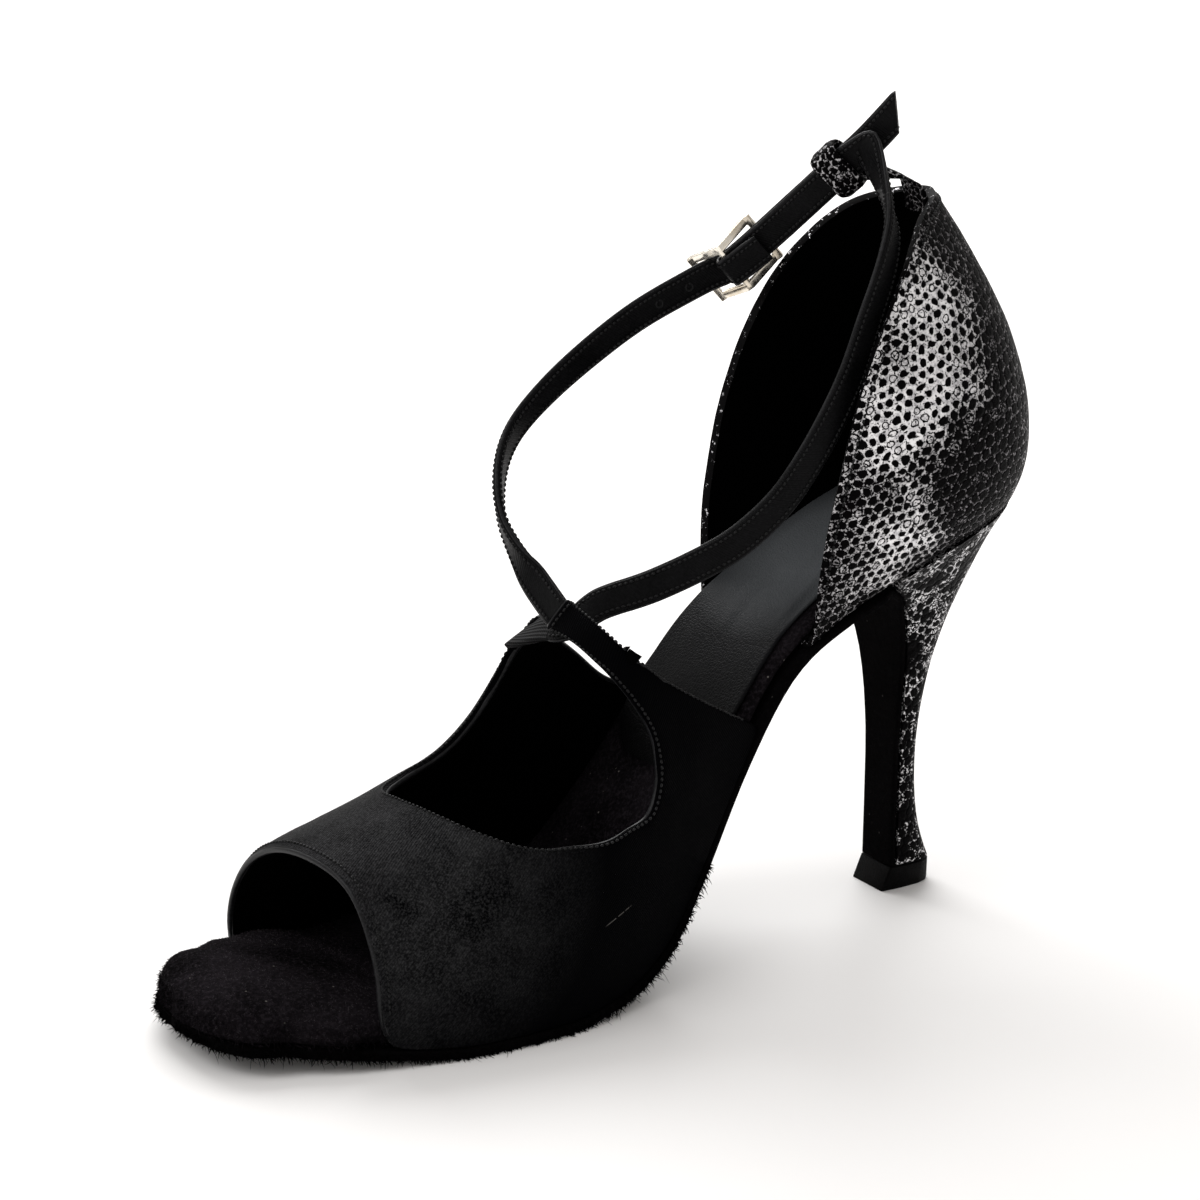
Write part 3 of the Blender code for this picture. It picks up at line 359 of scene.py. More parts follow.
local_x, local_y = (math_node(scales, "SUBTRACT", math_node(scales, "SUBTRACT", here, cell), 0.5)
                    for here, cell in ((staggered, column), (along, row)))
spot = add_node(scales, "ShaderNodeCombineXYZ", {0: column, 1: row})
chance = add_node(scales, "ShaderNodeTexWhiteNoise", {"Vector": spot.outputs[0]}, noise_dimensions="3D")
local = add_node(scales, "ShaderNodeCombineXYZ", {0: local_x, 1: times(scales, local_y, SQUASH)})
size = spread(scales, ink, 0.0, 1.0, SMALL_ROUND, LARGE_ROUND)
size = times_plus(scales, math_node(scales, "SUBTRACT", chance.outputs[0], 0.5), ROUND_SPREAD, size)
beyond = math_node(scales, "SUBTRACT", vector_node(scales, "LENGTH", local.outputs[0]), size)
ragged = times_plus(scales, noise_at(scales, where, 2200.0, 2.0, 0.6), 0.16, -0.08)
net = spread(scales, math_node(scales, "ADD", beyond, ragged), -0.015, 0.015)
filled = math_node(scales, "GREATER_THAN", chance.outputs[0], entry["Filled"])
core = times(scales, filled, spread(scales, beyond, -0.11, -0.14))
foil = math_node(scales, "MAXIMUM", net, core)
crackle = noise_at(scales, where, 1500.0, 3.0, 0.6)
kept = spread(scales, times_plus(scales, ink, -0.12, crackle), 0.415, 0.44)
give(times(scales, foil, kept), spread(scales, beyond, -0.14, 0.05, 1.0, 0.0))

# %% [markdown]
# ## The finishes
# Black cloth and suede show by their shine and relief more than by their colour, so their
# colour stays very dark and the bump does the work. The vamp's satin also has a painted highlight.

# %% Suede, satin and lining
def surface_map(tree, name):
    return add_node(tree, "ShaderNodeUVMap", uv_map=name).outputs[0]


NAP_DEPTH = 0.0009
WEAVE_DEPTH = 0.0001


def suede_finish(name, dark, light, lint):
    material, tree, surface = new_material(name)
    fur = use_group(tree, nap, {"Vector": object_place(tree)})
    colour = mix_colour(tree, fur.outputs["Brushed"], dark, light)
    specks = times(tree, fur.outputs["Lint"], lint)
    colour = mix_colour(tree, specks, colour, (0.30, 0.28, 0.26))
    finish_surface(tree, surface, {"Roughness": 1.0, "Sheen Weight": 0.005, "Sheen Roughness": 0.5,
                                   "Sheen Tint": (0.55, 0.53, 0.55, 1), "Specular IOR Level": 0.015},
                   {"Base Color": colour, "Normal": bump(tree, fur.outputs["Height"], NAP_DEPTH)})
    return material


suede = suede_finish("black suede", (0.0010, 0.0008, 0.0010), (0.0260, 0.0215, 0.0260), 0.6)
sole_suede = suede_finish("sole suede", (0.0008, 0.0007, 0.0008), (0.0040, 0.0034, 0.0038), 0.2)
raised_nap = suede_finish("raised nap", (0.0040, 0.0034, 0.0040), (0.110, 0.098, 0.108), 0.9)


def soft_spot(tree, centre, radius, core=0.35):
    apart = vector_node(tree, "DISTANCE", object_place(tree), Vector(centre) * MM)
    return spread(tree, apart, radius * MM, radius * core * MM)


def scratch_mask(tree, start, end, width=0.14):
    """A thin broken line on the arch side, between two points given by x and z in millimetres."""
    first = Vector((start[0], 0, start[1])) * MM
    run = Vector((end[0], 0, end[1])) * MM - first
    place = axes(tree, object_place(tree))
    seen = add_node(tree, "ShaderNodeCombineXYZ", {0: place[0], 2: place[2]}).outputs[0]
    offset = vector_node(tree, "SUBTRACT", seen, first)
    apart = vector_node(tree, "DISTANCE", offset, vector_node(tree, "PROJECT", offset, run))
    share = vector_node(tree, "DOT_PRODUCT", offset, run / run.length_squared)
    ends = times(tree, spread(tree, share, 0.0, 0.15), spread(tree, share, 1.0, 0.85))
    line = times(tree, spread(tree, apart, width * MM, 0.3 * width * MM), ends)
    broken = spread(tree, speckle(tree, 1500.0), 0.42, 0.5)
    line = times(tree, line, broken)
    return times(tree, line, math_node(tree, "LESS_THAN", place[1], 0.0))


def cloth_finish(name, dark, light, roughness, gloss, place, pitch, weave_depth=1.0, painted_highlight=None,
                 scratched=None):
    """Twill cloth, with an optional painted highlight: a spot and a radius where the cloth is painted
    lighter.
    """
    material, tree, surface = new_material(name)
    vector = object_place(tree) if place is None else surface_map(tree, place)
    weave = use_group(tree, twill, {"Vector": vector, "Pitch": pitch})
    patches = spread(tree, speckle(tree, 110.0, 4.0, 0.6), 0.34, 0.68)
    specks = spread(tree, speckle(tree, 1900.0, 4.0, 0.7), 0.44, 0.66)
    worn = times_plus(tree, patches, 0.35, times(tree, specks, 0.65))
    # The weave's low threads are painted darker: painted shade in its grooves.
    worn = times(tree, worn, spread(tree, weave.outputs["Thread"], 0.0, 1.0, 1 - 0.35 * weave_depth, 1.0))
    # Within the spot the cloth is painted lighter: a painted highlight over the random mottle.
    if painted_highlight is not None:
        worn = times(tree, worn, soft_spot(tree, *painted_highlight))
    colour = mix_colour(tree, worn, dark, light)
    if scratched is not None:
        colour = mix_colour(tree, scratch_mask(tree, *scratched), colour, (0.10, 0.095, 0.09))
    rough = spread(tree, patches, 0.0, 1.0, roughness - 0.06, roughness + 0.08)
    finish_surface(tree, surface, {"Specular IOR Level": gloss},
                   {"Base Color": colour, "Roughness": rough,
                    "Normal": bump(tree, weave.outputs["Height"], WEAVE_DEPTH * weave_depth, 0.6)})
    return material


# The vamp's satin has a painted highlight: a soft lighter spot on top of the toe.
satin = cloth_finish("black twill satin", (0.0008, 0.0008, 0.0011), (0.047, 0.047, 0.049), 0.46, 0.008,
                     "surface", 0.0006, 0.8, ((-66, -16, 38), 50), ((-20.7, 20.8), (-12.7, 23.5)))
strap_satin = cloth_finish("strap satin", (0.0008, 0.0008, 0.0010), (0.0060, 0.0060, 0.0066), 0.40, 0.06,
                           "along", 0.0006, 0.35)
edge_satin = cloth_finish("folded satin edge", (0.003, 0.003, 0.0033), (0.020, 0.020, 0.022), 0.36, 0.14,
                          None, 0.0003, 0.0)
lining = cloth_finish("black lining", (0.0002, 0.0002, 0.0002), (0.0006, 0.0006, 0.0006), 0.9, 0.02,
                      None, 0.0008)

thread, tree, surface = new_material("black thread")
twist = use_group(tree, twill, {"Vector": object_place(tree), "Pitch": 0.0003})
# The twist's low parts are painted darker: painted shade in its grooves.
colour = mix_colour(tree, twist.outputs["Thread"], (0.002, 0.002, 0.002), (0.012, 0.012, 0.013))
finish_surface(tree, surface, {"Roughness": 0.5, "Specular IOR Level": 0.15},
               {"Base Color": colour, "Normal": bump(tree, twist.outputs["Height"], 0.00006, 0.6)})

# %% Sock leather, rubber, elastic and metal
sock_leather, tree, surface = new_material("grey sock leather")
skin = use_group(tree, grain, {"Vector": object_place(tree), "Scale": 1250.0})
worn = spread(tree, speckle(tree, 48.0, 3.0), 0.35, 0.7)
colour = mix_colour(tree, skin.outputs["Mottle"], (0.0026, 0.0026, 0.0032), (0.0052, 0.0054, 0.0064))
colour = mix_colour(tree, times(tree, worn, 0.45), colour, (0.005, 0.005, 0.006))
# Painted highlight: a soft lighter spot on the seat, where the sock catches the lamp.
lit = times(tree, soft_spot(tree, (60, 4, 84), 32), 0.90)
colour = mix_colour(tree, lit, colour, (0.088, 0.094, 0.100))
# Painted shade: from 66 mm down to 50 mm height the sock turns near black, deep under the vamp.
shaded = spread(tree, axes(tree, object_place(tree))[2], 66 * MM, 50 * MM)
colour = mix_colour(tree, shaded, colour, (0.0006, 0.0006, 0.0007))
finish_surface(tree, surface, {"Specular IOR Level": 0.05},
               {"Base Color": colour, "Roughness": spread(tree, worn, 0.0, 1.0, 0.42, 0.56),
                "Normal": bump(tree, skin.outputs["Height"], 0.00012, 0.5)})

rubber, tree, surface = new_material("hard black top piece")
pores = use_group(tree, grain, {"Vector": object_place(tree), "Scale": 2600.0})
scuffs = spread(tree, speckle(tree, 380.0, 4.0, 0.7), 0.55, 0.72)
colour = mix_colour(tree, scuffs, (0.0008, 0.0007, 0.0008), (0.006, 0.0055, 0.006))
finish_surface(tree, surface, {"Specular IOR Level": 0.035},
               {"Base Color": colour, "Roughness": spread(tree, scuffs, 0.0, 1.0, 0.38, 0.7),
                "Normal": bump(tree, pores.outputs["Height"], 0.0001, 0.5)})

ribbed, tree, surface = new_material("ribbed elastic")
place = axes(tree, surface_map(tree, "along"))
cords = wave(tree, place[1], 2 * math.pi / 0.0009)
steps = wave(tree, place[0], 2 * math.pi / 0.0006)
rib_height = times_plus(tree, steps, 0.4, cords)
# The ribs' tops are painted lighter than the grooves between them: painted shade in the grooves.
raised = spread(tree, rib_height, -1.2, 1.2)
finish_surface(tree, surface, {"Specular IOR Level": 0.12},
               {"Base Color": mix_colour(tree, raised, (0.002, 0.002, 0.002), (0.016, 0.016, 0.017)),
                "Roughness": spread(tree, raised, 0.0, 1.0, 0.85, 0.6),
                "Normal": bump(tree, rib_height, 0.00015, 0.8)})

champagne, tree, surface = new_material("champagne metal")
rub = speckle(tree, 900.0, 4.0, 0.65)
tarnish = spread(tree, speckle(tree, 220.0, 3.0), 0.4, 0.75)
colour = mix_colour(tree, tarnish, (0.93, 0.88, 0.78), (0.62, 0.52, 0.38))
finish_surface(tree, surface, {"Metallic": 1.0},
               {"Base Color": colour, "Roughness": spread(tree, rub, 0.3, 0.7, 0.14, 0.34),
                "Normal": bump(tree, rub, 0.00005, 0.3)})
print("materials:", len(bpy.data.materials))

# %% [markdown]
# On the counter the foil is broad in a bright field at half height and thin in a dark band
# below it: painted reflections of a lamp and of the darker room, laid into the print. Soft spots
# on Object coordinates say where. The light reads as bright and dark patches too, because the
# foil reflects the room.

# %% Printed leather
SPOT_STRENGTH = 0.70
INK_SPREAD = 0.34


def printed_leather(name, pitch, base_ink, filled, bright, dark, thin=(0.20, 0.19, 0.20),
                    bare=(0.0, 0.01)):
    """Thin is the foil's colour where it is a net of lines. Bare is the range of noise without it."""
    material, tree, surface = new_material(name)
    ink = spread(tree, speckle(tree, 130.0, 4.0, 0.65), 0.3, 0.7, base_ink - INK_SPREAD,
                 base_ink + INK_SPREAD)
    # Bright spots thin the ink and dark spots thicken it, so the foil there is broad and bright or thin and
    # dark.
    for centre, radius in bright:
        ink = times_plus(tree, soft_spot(tree, centre, radius, 0.0), -SPOT_STRENGTH, ink)
    for centre, radius in dark:
        ink = times_plus(tree, soft_spot(tree, centre, radius, 0.0), SPOT_STRENGTH, ink)
    ink = add_node(tree, "ShaderNodeClamp", {0: ink}).outputs[0]
    printed = use_group(tree, scales, {"Vector": surface_map(tree, "surface"), "Pitch": pitch, "Ink": ink,
                                       "Filled": filled})
    # Glints are painted highlights: a fine noise switches the silver between bright and a duller, darker
    # silver.
    glints = spread(tree, speckle(tree, 650.0, 5.0, 0.75), 0.40, 0.54)
    field = mix_colour(tree, ink, (1.0, 0.99, 1.0), thin)
    dull_silver = mix_colour(tree, ink, (0.55, 0.54, 0.56), tuple(0.3 * c for c in thin))
    silver = mix_colour(tree, glints, dull_silver, field)
    left = spread(tree, speckle(tree, 160.0, 4.0, 0.6), *bare)
    foil = times(tree, printed.outputs["Foil"], left)
    colour = mix_colour(tree, foil, (0.0010, 0.0008, 0.0010), silver)
    creases = speckle(tree, 900.0, 5.0, 0.7)
    relief = times_plus(tree, creases, 1.1, printed.outputs["Height"])
    finish_surface(tree, surface, {"Specular IOR Level": 0.02},
                   {"Base Color": colour, "Metallic": times(tree, foil, 0.55),
                    "Roughness": spread(tree, foil, 0.0, 1.0, 0.45, 0.22),
                    "Normal": bump(tree, relief, 0.00030, 0.8)})
    return material


# The counter's bright spots are a painted reflection of a lamp, and its dark spots a painted reflection of
# the darker room.
counter_print = printed_leather("counter print", 0.0028, 0.70, 0.82,
                                [((69, -29, 129), 34), ((56, -29, 119), 14), ((59, -27, 92), 15),
                                 ((66, -26, 145), 11)],
                                [((88, -28, 113), 26), ((72, -31, 108), 14), ((92, -21, 134), 20),
                                 ((82, -27, 97), 16), ((98, -4, 120), 34), ((84, -14, 152), 20)])
heel_print = printed_leather("heel print", 0.0025, 0.72, 0.66, [((88, -10, 84), 12)], [((84, -4, 24), 24)],
                             (0.85, 0.84, 0.86), (0.43, 0.50))
loop_print = printed_leather("loop print", 0.0017, 0.75, 0.90, [], [])

cut_edge, tree, surface = new_material("cut edge of the print")
flakes = spread(tree, speckle(tree, 700.0, 4.0, 0.7), 0.61, 0.65)
finish_surface(tree, surface, {"Specular IOR Level": 0.05},
               {"Base Color": mix_colour(tree, flakes, (0.0012, 0.001, 0.0012), (0.80, 0.79, 0.82)),
                "Metallic": times(tree, flakes, 0.9),
                "Roughness": spread(tree, flakes, 0.0, 1.0, 0.6, 0.25),
                "Normal": bump(tree, flakes, 0.00015, 0.7)})

# %% [markdown]
# ## Small things that repeat
# A stitch is modelled once, as a flattened ball, and set along a seam many times. A fibre of
# suede is a thin three-sided spike with a bend in it.

# %% Stitches
def in_place(name, vertices, faces, material, slot):
    mesh = bpy.data.meshes.new(name)
    mesh.from_pydata([tuple(v) for v in vertices], [], faces)
    piece = new_piece(name, mesh)
    dress(piece, [material], slot)
    return piece


def dress(piece, materials, slot, *replaced):
    """Materials are added only where the piece has none yet."""
    if not piece.data.materials:
        for material in materials:
            piece.data.materials.append(material)
    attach(piece, "root")
    if replaced:
        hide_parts(*replaced)


bpy.ops.object.select_all(action="DESELECT")
bpy.ops.mesh.primitive_uv_sphere_add(segments=8, ring_count=6, radius=0.5)
stitch_model = bpy.context.object
STITCH_POINTS = [v.co.copy() for v in stitch_model.data.vertices]
STITCH_FACES = [tuple(p.vertices) for p in stitch_model.data.polygons]
bpy.data.objects.remove(stitch_model)

SOFT_ANGLE = 60
STITCH_LONG = 0.95 * MM
STITCH_WIDE = 0.60 * MM
STITCH_STEP = 1.25 * MM


def along_path(points, step):
    """Points and directions every step along a line of points."""
    spots = []
    left = step / 2
    for a, b in zip(points, points[1:]):
        span = (b - a).length
        if span == 0:
            continue
        while left <= span:
            spots.append((a.lerp(b, left / span), (b - a).normalized()))
            left += step
        left -= span
    return spots


def stitches(name, spots, slot, long=STITCH_LONG, wide=STITCH_WIDE, sink=0.15):
    """One mesh of stitches. Each spot is a point, the seam's direction and the surface's normal."""
    vertices, faces = [], []
    for point, direction, normal in spots:
        side = direction.cross(normal).normalized()
        lift = side.cross(direction).normalized()
        if lift.dot(normal) < 0:
            lift = -lift
        first = len(vertices)
        for corner in STITCH_POINTS:
            vertices.append(point + direction * (corner.z * long) + side * (corner.x * wide)
                            + lift * (corner.y * wide + wide * (0.5 - sink) * 0.4))
        faces += [tuple(first + v for v in face) for face in STITCH_FACES]
    piece = in_place(name, vertices, faces, thread, slot)
    edit_all(piece, OUTWARD)
    bpy.ops.object.shade_smooth()
    print(name, "has", len(spots), "stitches")


# %% Fibres
def fibres(name, roots, material, slot, seed, shortest, longest, thick):
    """Thin bent spikes. Each root is a point and the direction that the fibre grows in."""
    draw = random.Random(seed)
    vertices, faces = [], []
    for point, direction in roots:
        wander = Vector((draw.uniform(-1, 1), draw.uniform(-1, 1), draw.uniform(-1, 1)))
        way = (direction + wander * 0.8).normalized()
        bend = (wander.cross(way) + Vector((0, 0, -0.4))).normalized()
        side = way.orthogonal().normalized()
        other = way.cross(side)
        reach = draw.uniform(shortest, longest) * draw.uniform(0.5, 1)
        first = len(vertices)
        for share, width in ((0.0, 1.0), (0.45, 0.75), (0.8, 0.45)):
            middle = point + way * (reach * share) + bend * (reach * 0.5 * share * share)
            for corner in range(3):
                angle = corner * 2 * math.pi / 3
                vertices.append(middle + (side * math.cos(angle) + other * math.sin(angle)) * (thick * width))
        vertices.append(point + way * reach + bend * (reach * 0.5))
        for level in (0, 3):
            for corner in range(3):
                following = (corner + 1) % 3
                faces.append((first + level + corner, first + level + following,
                              first + level + 3 + following, first + level + 3 + corner))
        faces += [(first + 6 + c, first + 6 + (c + 1) % 3, first + 9) for c in range(3)]
        faces.append((first + 2, first + 1, first))
    for corner in vertices:
        corner.z = max(corner.z, 0.02 * MM)
    in_place(name, vertices, faces, material, slot)
    print(name, "has", len(roots), "fibres")


# %% [markdown]
# ## Boards and straps
# The sole, the insole, the sock and the straps are long strips. Each solid is a chain of rings
# with four corners, so walking from ring to ring gives its middle line, its width direction
# and its thickness. A soft section is then laid along that line: rounded edges, a slight
# crown, and a groove where a seam pulls the cloth in.

# %% Reading the rings of a strip
def ring_walk(mesh, triangles, off_middle=0.0):
    """Rings of four corners each along a strip's solid. Points near its middle line are a slot's."""
    quads = bmesh.new()
    quads.from_mesh(mesh)
    caps = [f for f in quads.faces if len(f.verts) == 4 and all(len(v.link_edges) == 3 for v in f.verts)]
    corners = [v.co.copy() for v in caps[0].verts]
    quads.free()
    shape = bmesh.new()
    shape.from_mesh(triangles)
    ring = [min(shape.verts, key=lambda v: (v.co - corner).length) for corner in corners]
    visited = set(ring)
    rings = [[v.co.copy() for v in ring]]
    while True:
        lengths = [(ring[i].co - ring[i - 1].co).length for i in range(4)]
        widest = lengths.index(max(lengths))
        across = (ring[widest].co - ring[widest - 1].co).normalized()
        centre = sum((v.co for v in ring), Vector()) / 4
        choices = []
        for v in ring:
            linked = [e.other_vert(v) for e in v.link_edges]
            choices.append([w for w in linked if w not in visited
                            and abs((w.co - centre).dot(across)) >= off_middle])
        sets = [found for found in itertools.product(*choices) if len(set(found)) == 4]
        if not sets:
            break
        ring = list(min(sets, key=lambda found: sum((w.co - v.co).length for v, w in zip(ring, found))))
        visited.update(ring)
        rings.append([v.co.copy() for v in ring])
    shape.free()
    return rings


def align_rings(rings):
    """Turns each ring's order so that corner follows corner along the strip."""
    aligned = [rings[0]]
    for ring in rings[1:]:
        last = aligned[-1]
        options = []
        for order in (ring, list(reversed(ring))):
            for start in range(4):
                turned = order[start:] + order[:start]
                options.append((sum((a - b).length for a, b in zip(last, turned)), turned))
        aligned.append(min(options, key=lambda option: option[0])[1])
    return aligned


# %% A smooth line through the rings
def smooth_line(values, steps):
    """Catmull-Rom through the values."""
    fine = []
    last = len(values) - 1
    for i in range(last):
        a, b = values[max(i - 1, 0)], values[i]
        c, d = values[i + 1], values[min(i + 2, last)]
        for k in range(steps):
            t = k / steps
            fine.append(b + (c - a) * (0.5 * t) + (a * 2 - b * 5 + c * 4 - d) * (0.5 * t * t)
                        + (b * 3 - a - c * 3 + d) * (0.5 * t ** 3))
    fine.append(values[-1])
    return fine


def strip_line(node, steps, off_middle=0.0):
    """Middle, width vector and wall vector along a strip, from its toe end. The wall looks up there."""
    copy = merged_copy(node, node + "_rings")
    plain = merged_copy(node, node + "_corners", False)
    rings = align_rings(ring_walk(copy.data, plain.data, off_middle))
    bpy.data.objects.remove(copy)
    bpy.data.objects.remove(plain)
    if rings[0][0].x > rings[-1][0].x:
        rings.reverse()
    sample = rings[len(rings) // 2]
    turn = 0 if (sample[0] - sample[1]).length > (sample[1] - sample[2]).length else 1
    rings = [ring[turn:] + ring[:turn] for ring in rings]
    if (rings[0][3] - rings[0][0]).z < 0:
        rings = [ring[2:] + ring[:2] for ring in rings]
    middle = smooth_line([(r[0] + r[1] + r[2] + r[3]) / 4 for r in rings], steps)
    across = smooth_line([(r[1] - r[0] + r[2] - r[3]) / 2 for r in rings], steps)
    through = smooth_line([(r[3] - r[0] + r[2] - r[1]) / 2 for r in rings], steps)
    print(node, "has", len(rings), "rings")
    return middle, across, through


# %% Laying a section along a line
def soft_section(edge, crown, columns, groove=0.0, groove_set=0.0):
    """Gives a function that makes a section's points in metres from its half width and half wall."""
    turns = (0.0, 0.25, 0.5, 0.75, 1.0)

    def points(half, wall):
        round_in = min(edge, 0.8 * half)
        round_down = min(edge, wall)
        corner = []
        for share in turns:
            angle = share * math.pi / 2
            corner.append((half - round_in * (1 - math.cos(angle)),
                           wall - round_down * (1 - math.sin(angle))))
        inner = half - round_in
        flat = [inner * (1 - 2 * k / columns) for k in range(1, columns)]

        def raised(s, t):
            lift = crown * (1 - (s / half) ** 2)
            dip = groove * math.exp(-((half - abs(s) - groove_set) / (0.28 * MM)) ** 2) if groove else 0.0
            return t + (lift - dip) * t / wall

        top = corner + [(s, wall) for s in flat] + [(-s, t) for s, t in reversed(corner)]
        low = [(s, -t) for s, t in reversed(top)][1:-1]
        return [(s, raised(s, t)) for s, t in top + low]

    return points


def sweep(name, line, section):
    """Skin of a section along a strip's line, with a map in metres named along."""
    middle, across, through = line
    reach = [0.0]
    for a, b in zip(middle, middle[1:]):
        reach.append(reach[-1] + (b - a).length)
    vertices, round_about = [], []
    for point, u, v in zip(middle, across, through):
        outline = section(u.length / 2, v.length / 2)
        count = len(outline)
        lengths = [0.0]
        for (a, b), (c, d) in zip(outline, outline[1:] + outline[:1]):
            lengths.append(lengths[-1] + math.hypot(c - a, d - b))
        round_about.append(lengths)
        vertices += [point + u.normalized() * s + v.normalized() * t for s, t in outline]
    faces, corners = [], []
    for r in range(len(middle) - 1):
        for c in range(count):
            d = (c + 1) % count
            faces.append((r * count + c, r * count + d, (r + 1) * count + d, (r + 1) * count + c))
            corners.append(((r, c), (r, c + 1), (r + 1, c + 1), (r + 1, c)))
    last = len(middle) - 1
    faces += [tuple(range(count))[::-1], tuple(last * count + c for c in range(count))]
    corners += [[(0, c) for c in range(count)][::-1], [(last, c) for c in range(count)]]
    mesh = bpy.data.meshes.new(name)
    mesh.from_pydata([tuple(v) for v in vertices], [], faces)
    layer = mesh.uv_layers.new(name="along")
    for polygon, places in zip(mesh.polygons, corners):
        for loop, (r, c) in zip(polygon.loop_indices, places):
            layer.data[loop].uv = (reach[r], round_about[r][c])
    piece = new_piece(name, mesh)
    edit_all(piece, OUTWARD)
    print(name, "is", round(reach[-1] / MM), "mm long")
    return piece


# %% [markdown]
# ## Sole, insole and sock
# The outsole is a layer of suede that runs on down the front of the heel. The insole is a
# board wrapped in suede with a soft edge, and its toe end is round. The sock is thin leather,
# glued down at the heel, with long creases where the foot has pushed it together.

# %% Sole and insole
TOE_ROUND = 15 * MM


def round_toe(line, cut):
    """Draws the width in towards the toe end like an ellipse, and pulls the end back a little."""
    middle, across, through = line
    tip = middle[0].copy()
    wide = None
    reach = [(point - tip).length for point in middle]
    for distance, width in zip(reach, across):
        if distance >= TOE_ROUND:
            wide = width.length
            break
    new_middle, new_across = [], []
    for point, width, distance in zip(middle, across, reach):
        share = min(distance / TOE_ROUND, 1)
        round_width = wide * math.sqrt(max(1 - (1 - share) ** 2.0, 0.002))
        new_across.append(width * (round_width / width.length if share < 1 else 1))
        new_middle.append(point + Vector((cut * (1 - share) ** 2, 0, 0)))
    return new_middle, new_across, through


outsole_line = round_toe(strip_line("outsole", 2), 1.4 * MM)
outsole = sweep("outsole_suede", outsole_line, soft_section(0.7 * MM, 0.0, 10))
shade(outsole, SOFT_ANGLE)
dress(outsole, [sole_suede], "suede", "outsole")


def fade(value, start, end):
    share = min(max((value - start) / (end - start), 0), 1)
    return share * share * (3 - 2 * share)


def thicker_toe(line, extra):
    """Adds padding on top of the board in front of the vamp."""
    middle, across, through = line
    new_middle, new_through = [], []
    for point, v in zip(middle, through):
        more = v.normalized() * extra * (1 - fade(point.x / MM, -76, -58))
        new_middle.append(point + more / 2)
        new_through.append(v + more)
    return new_middle, across, new_through


insole_line = thicker_toe(round_toe(strip_line("insole", 2), 1.2 * MM), 2.4 * MM)
insole = sweep("insole_suede", insole_line, soft_section(3.4 * MM, 0.25 * MM, 20))
DOME = 3.8 * MM
ring_size = len(insole.data.vertices) // len(insole_line[0])
for vertex in insole.data.vertices:
    point, u, v = (part[vertex.index // ring_size] for part in insole_line)
    offset = vertex.co - point
    sideways = abs(offset.dot(u.normalized())) / (u.length / 2)
    upper = fade(offset.dot(v.normalized()) / v.length, 0.0, 0.5)
    rise = DOME * fade(point.x / MM, -107, -96) * (1 - fade(point.x / MM, -72, -45))
    lump = noise.noise(vertex.co / (9 * MM)) * 0.12 + noise.noise(vertex.co / (2.5 * MM)) * 0.05
    lump *= 1 - min(sideways, 1) ** 2
    vertex.co += vertex.normal * lump * MM + Vector((0, 0, rise * upper * (1 - min(sideways, 1) ** 3)))
shade(insole, SOFT_ANGLE)
dress(insole, [suede], "suede", "insole")

# %% Sock
sock_line = strip_line("sock", 4)
sock = sweep("sock_leather", sock_line, soft_section(0.4 * MM, 0.0, 44))


def crease(point, start, end, width, depth):
    """Height of a long soft ridge between two points seen from above, with a trough beside it."""
    run = end - start
    share = (point - start).dot(run) / run.length_squared
    side = run.cross(Vector((0, 0, 1))).normalized()
    apart = (point - start - run * share).dot(side)
    ends = max(min(share * 5, (1 - share) * 5, 1), 0)
    ridge = math.exp(-(apart / width) ** 2) - 0.7 * math.exp(-((apart - 1.7 * width) / width) ** 2)
    return ridge * depth * ends


# Start and end seen from above, half width and height, all in millimetres.
CREASES = [((38, -9.5), (66, -4.0), 1.3, 0.55), ((33, 5.0), (52, 9.0), 1.8, 0.22),
           ((44, -2.0), (60, 2.5), 1.0, 0.16)]
for vertex in sock.data.vertices:
    flat = Vector((vertex.co.x, vertex.co.y, 0))
    rise = noise.noise(vertex.co / (7 * MM)) * 0.10 * MM
    for start, end, width, depth in CREASES:
        rise += crease(flat, Vector((*start, 0)) * MM, Vector((*end, 0)) * MM, width * MM, depth * MM)
    if vertex.normal.z > 0.3:
        vertex.co += vertex.normal * max(rise, -0.35 * MM)
shade(sock, SOFT_ANGLE)
dress(sock, [sock_leather], "sock_leather", "sock")

# %% [markdown]
# ## The upper
# Vamp and counter are sheets of satin and leather over a lining. The outer side of each solid
# is kept as a sheet, smoothed by subdivision, and given its thickness again by Solidify, whose
# inner side takes the second material. Before that, the sheet is unwrapped, so that weave and
# print follow the surface at their real size.

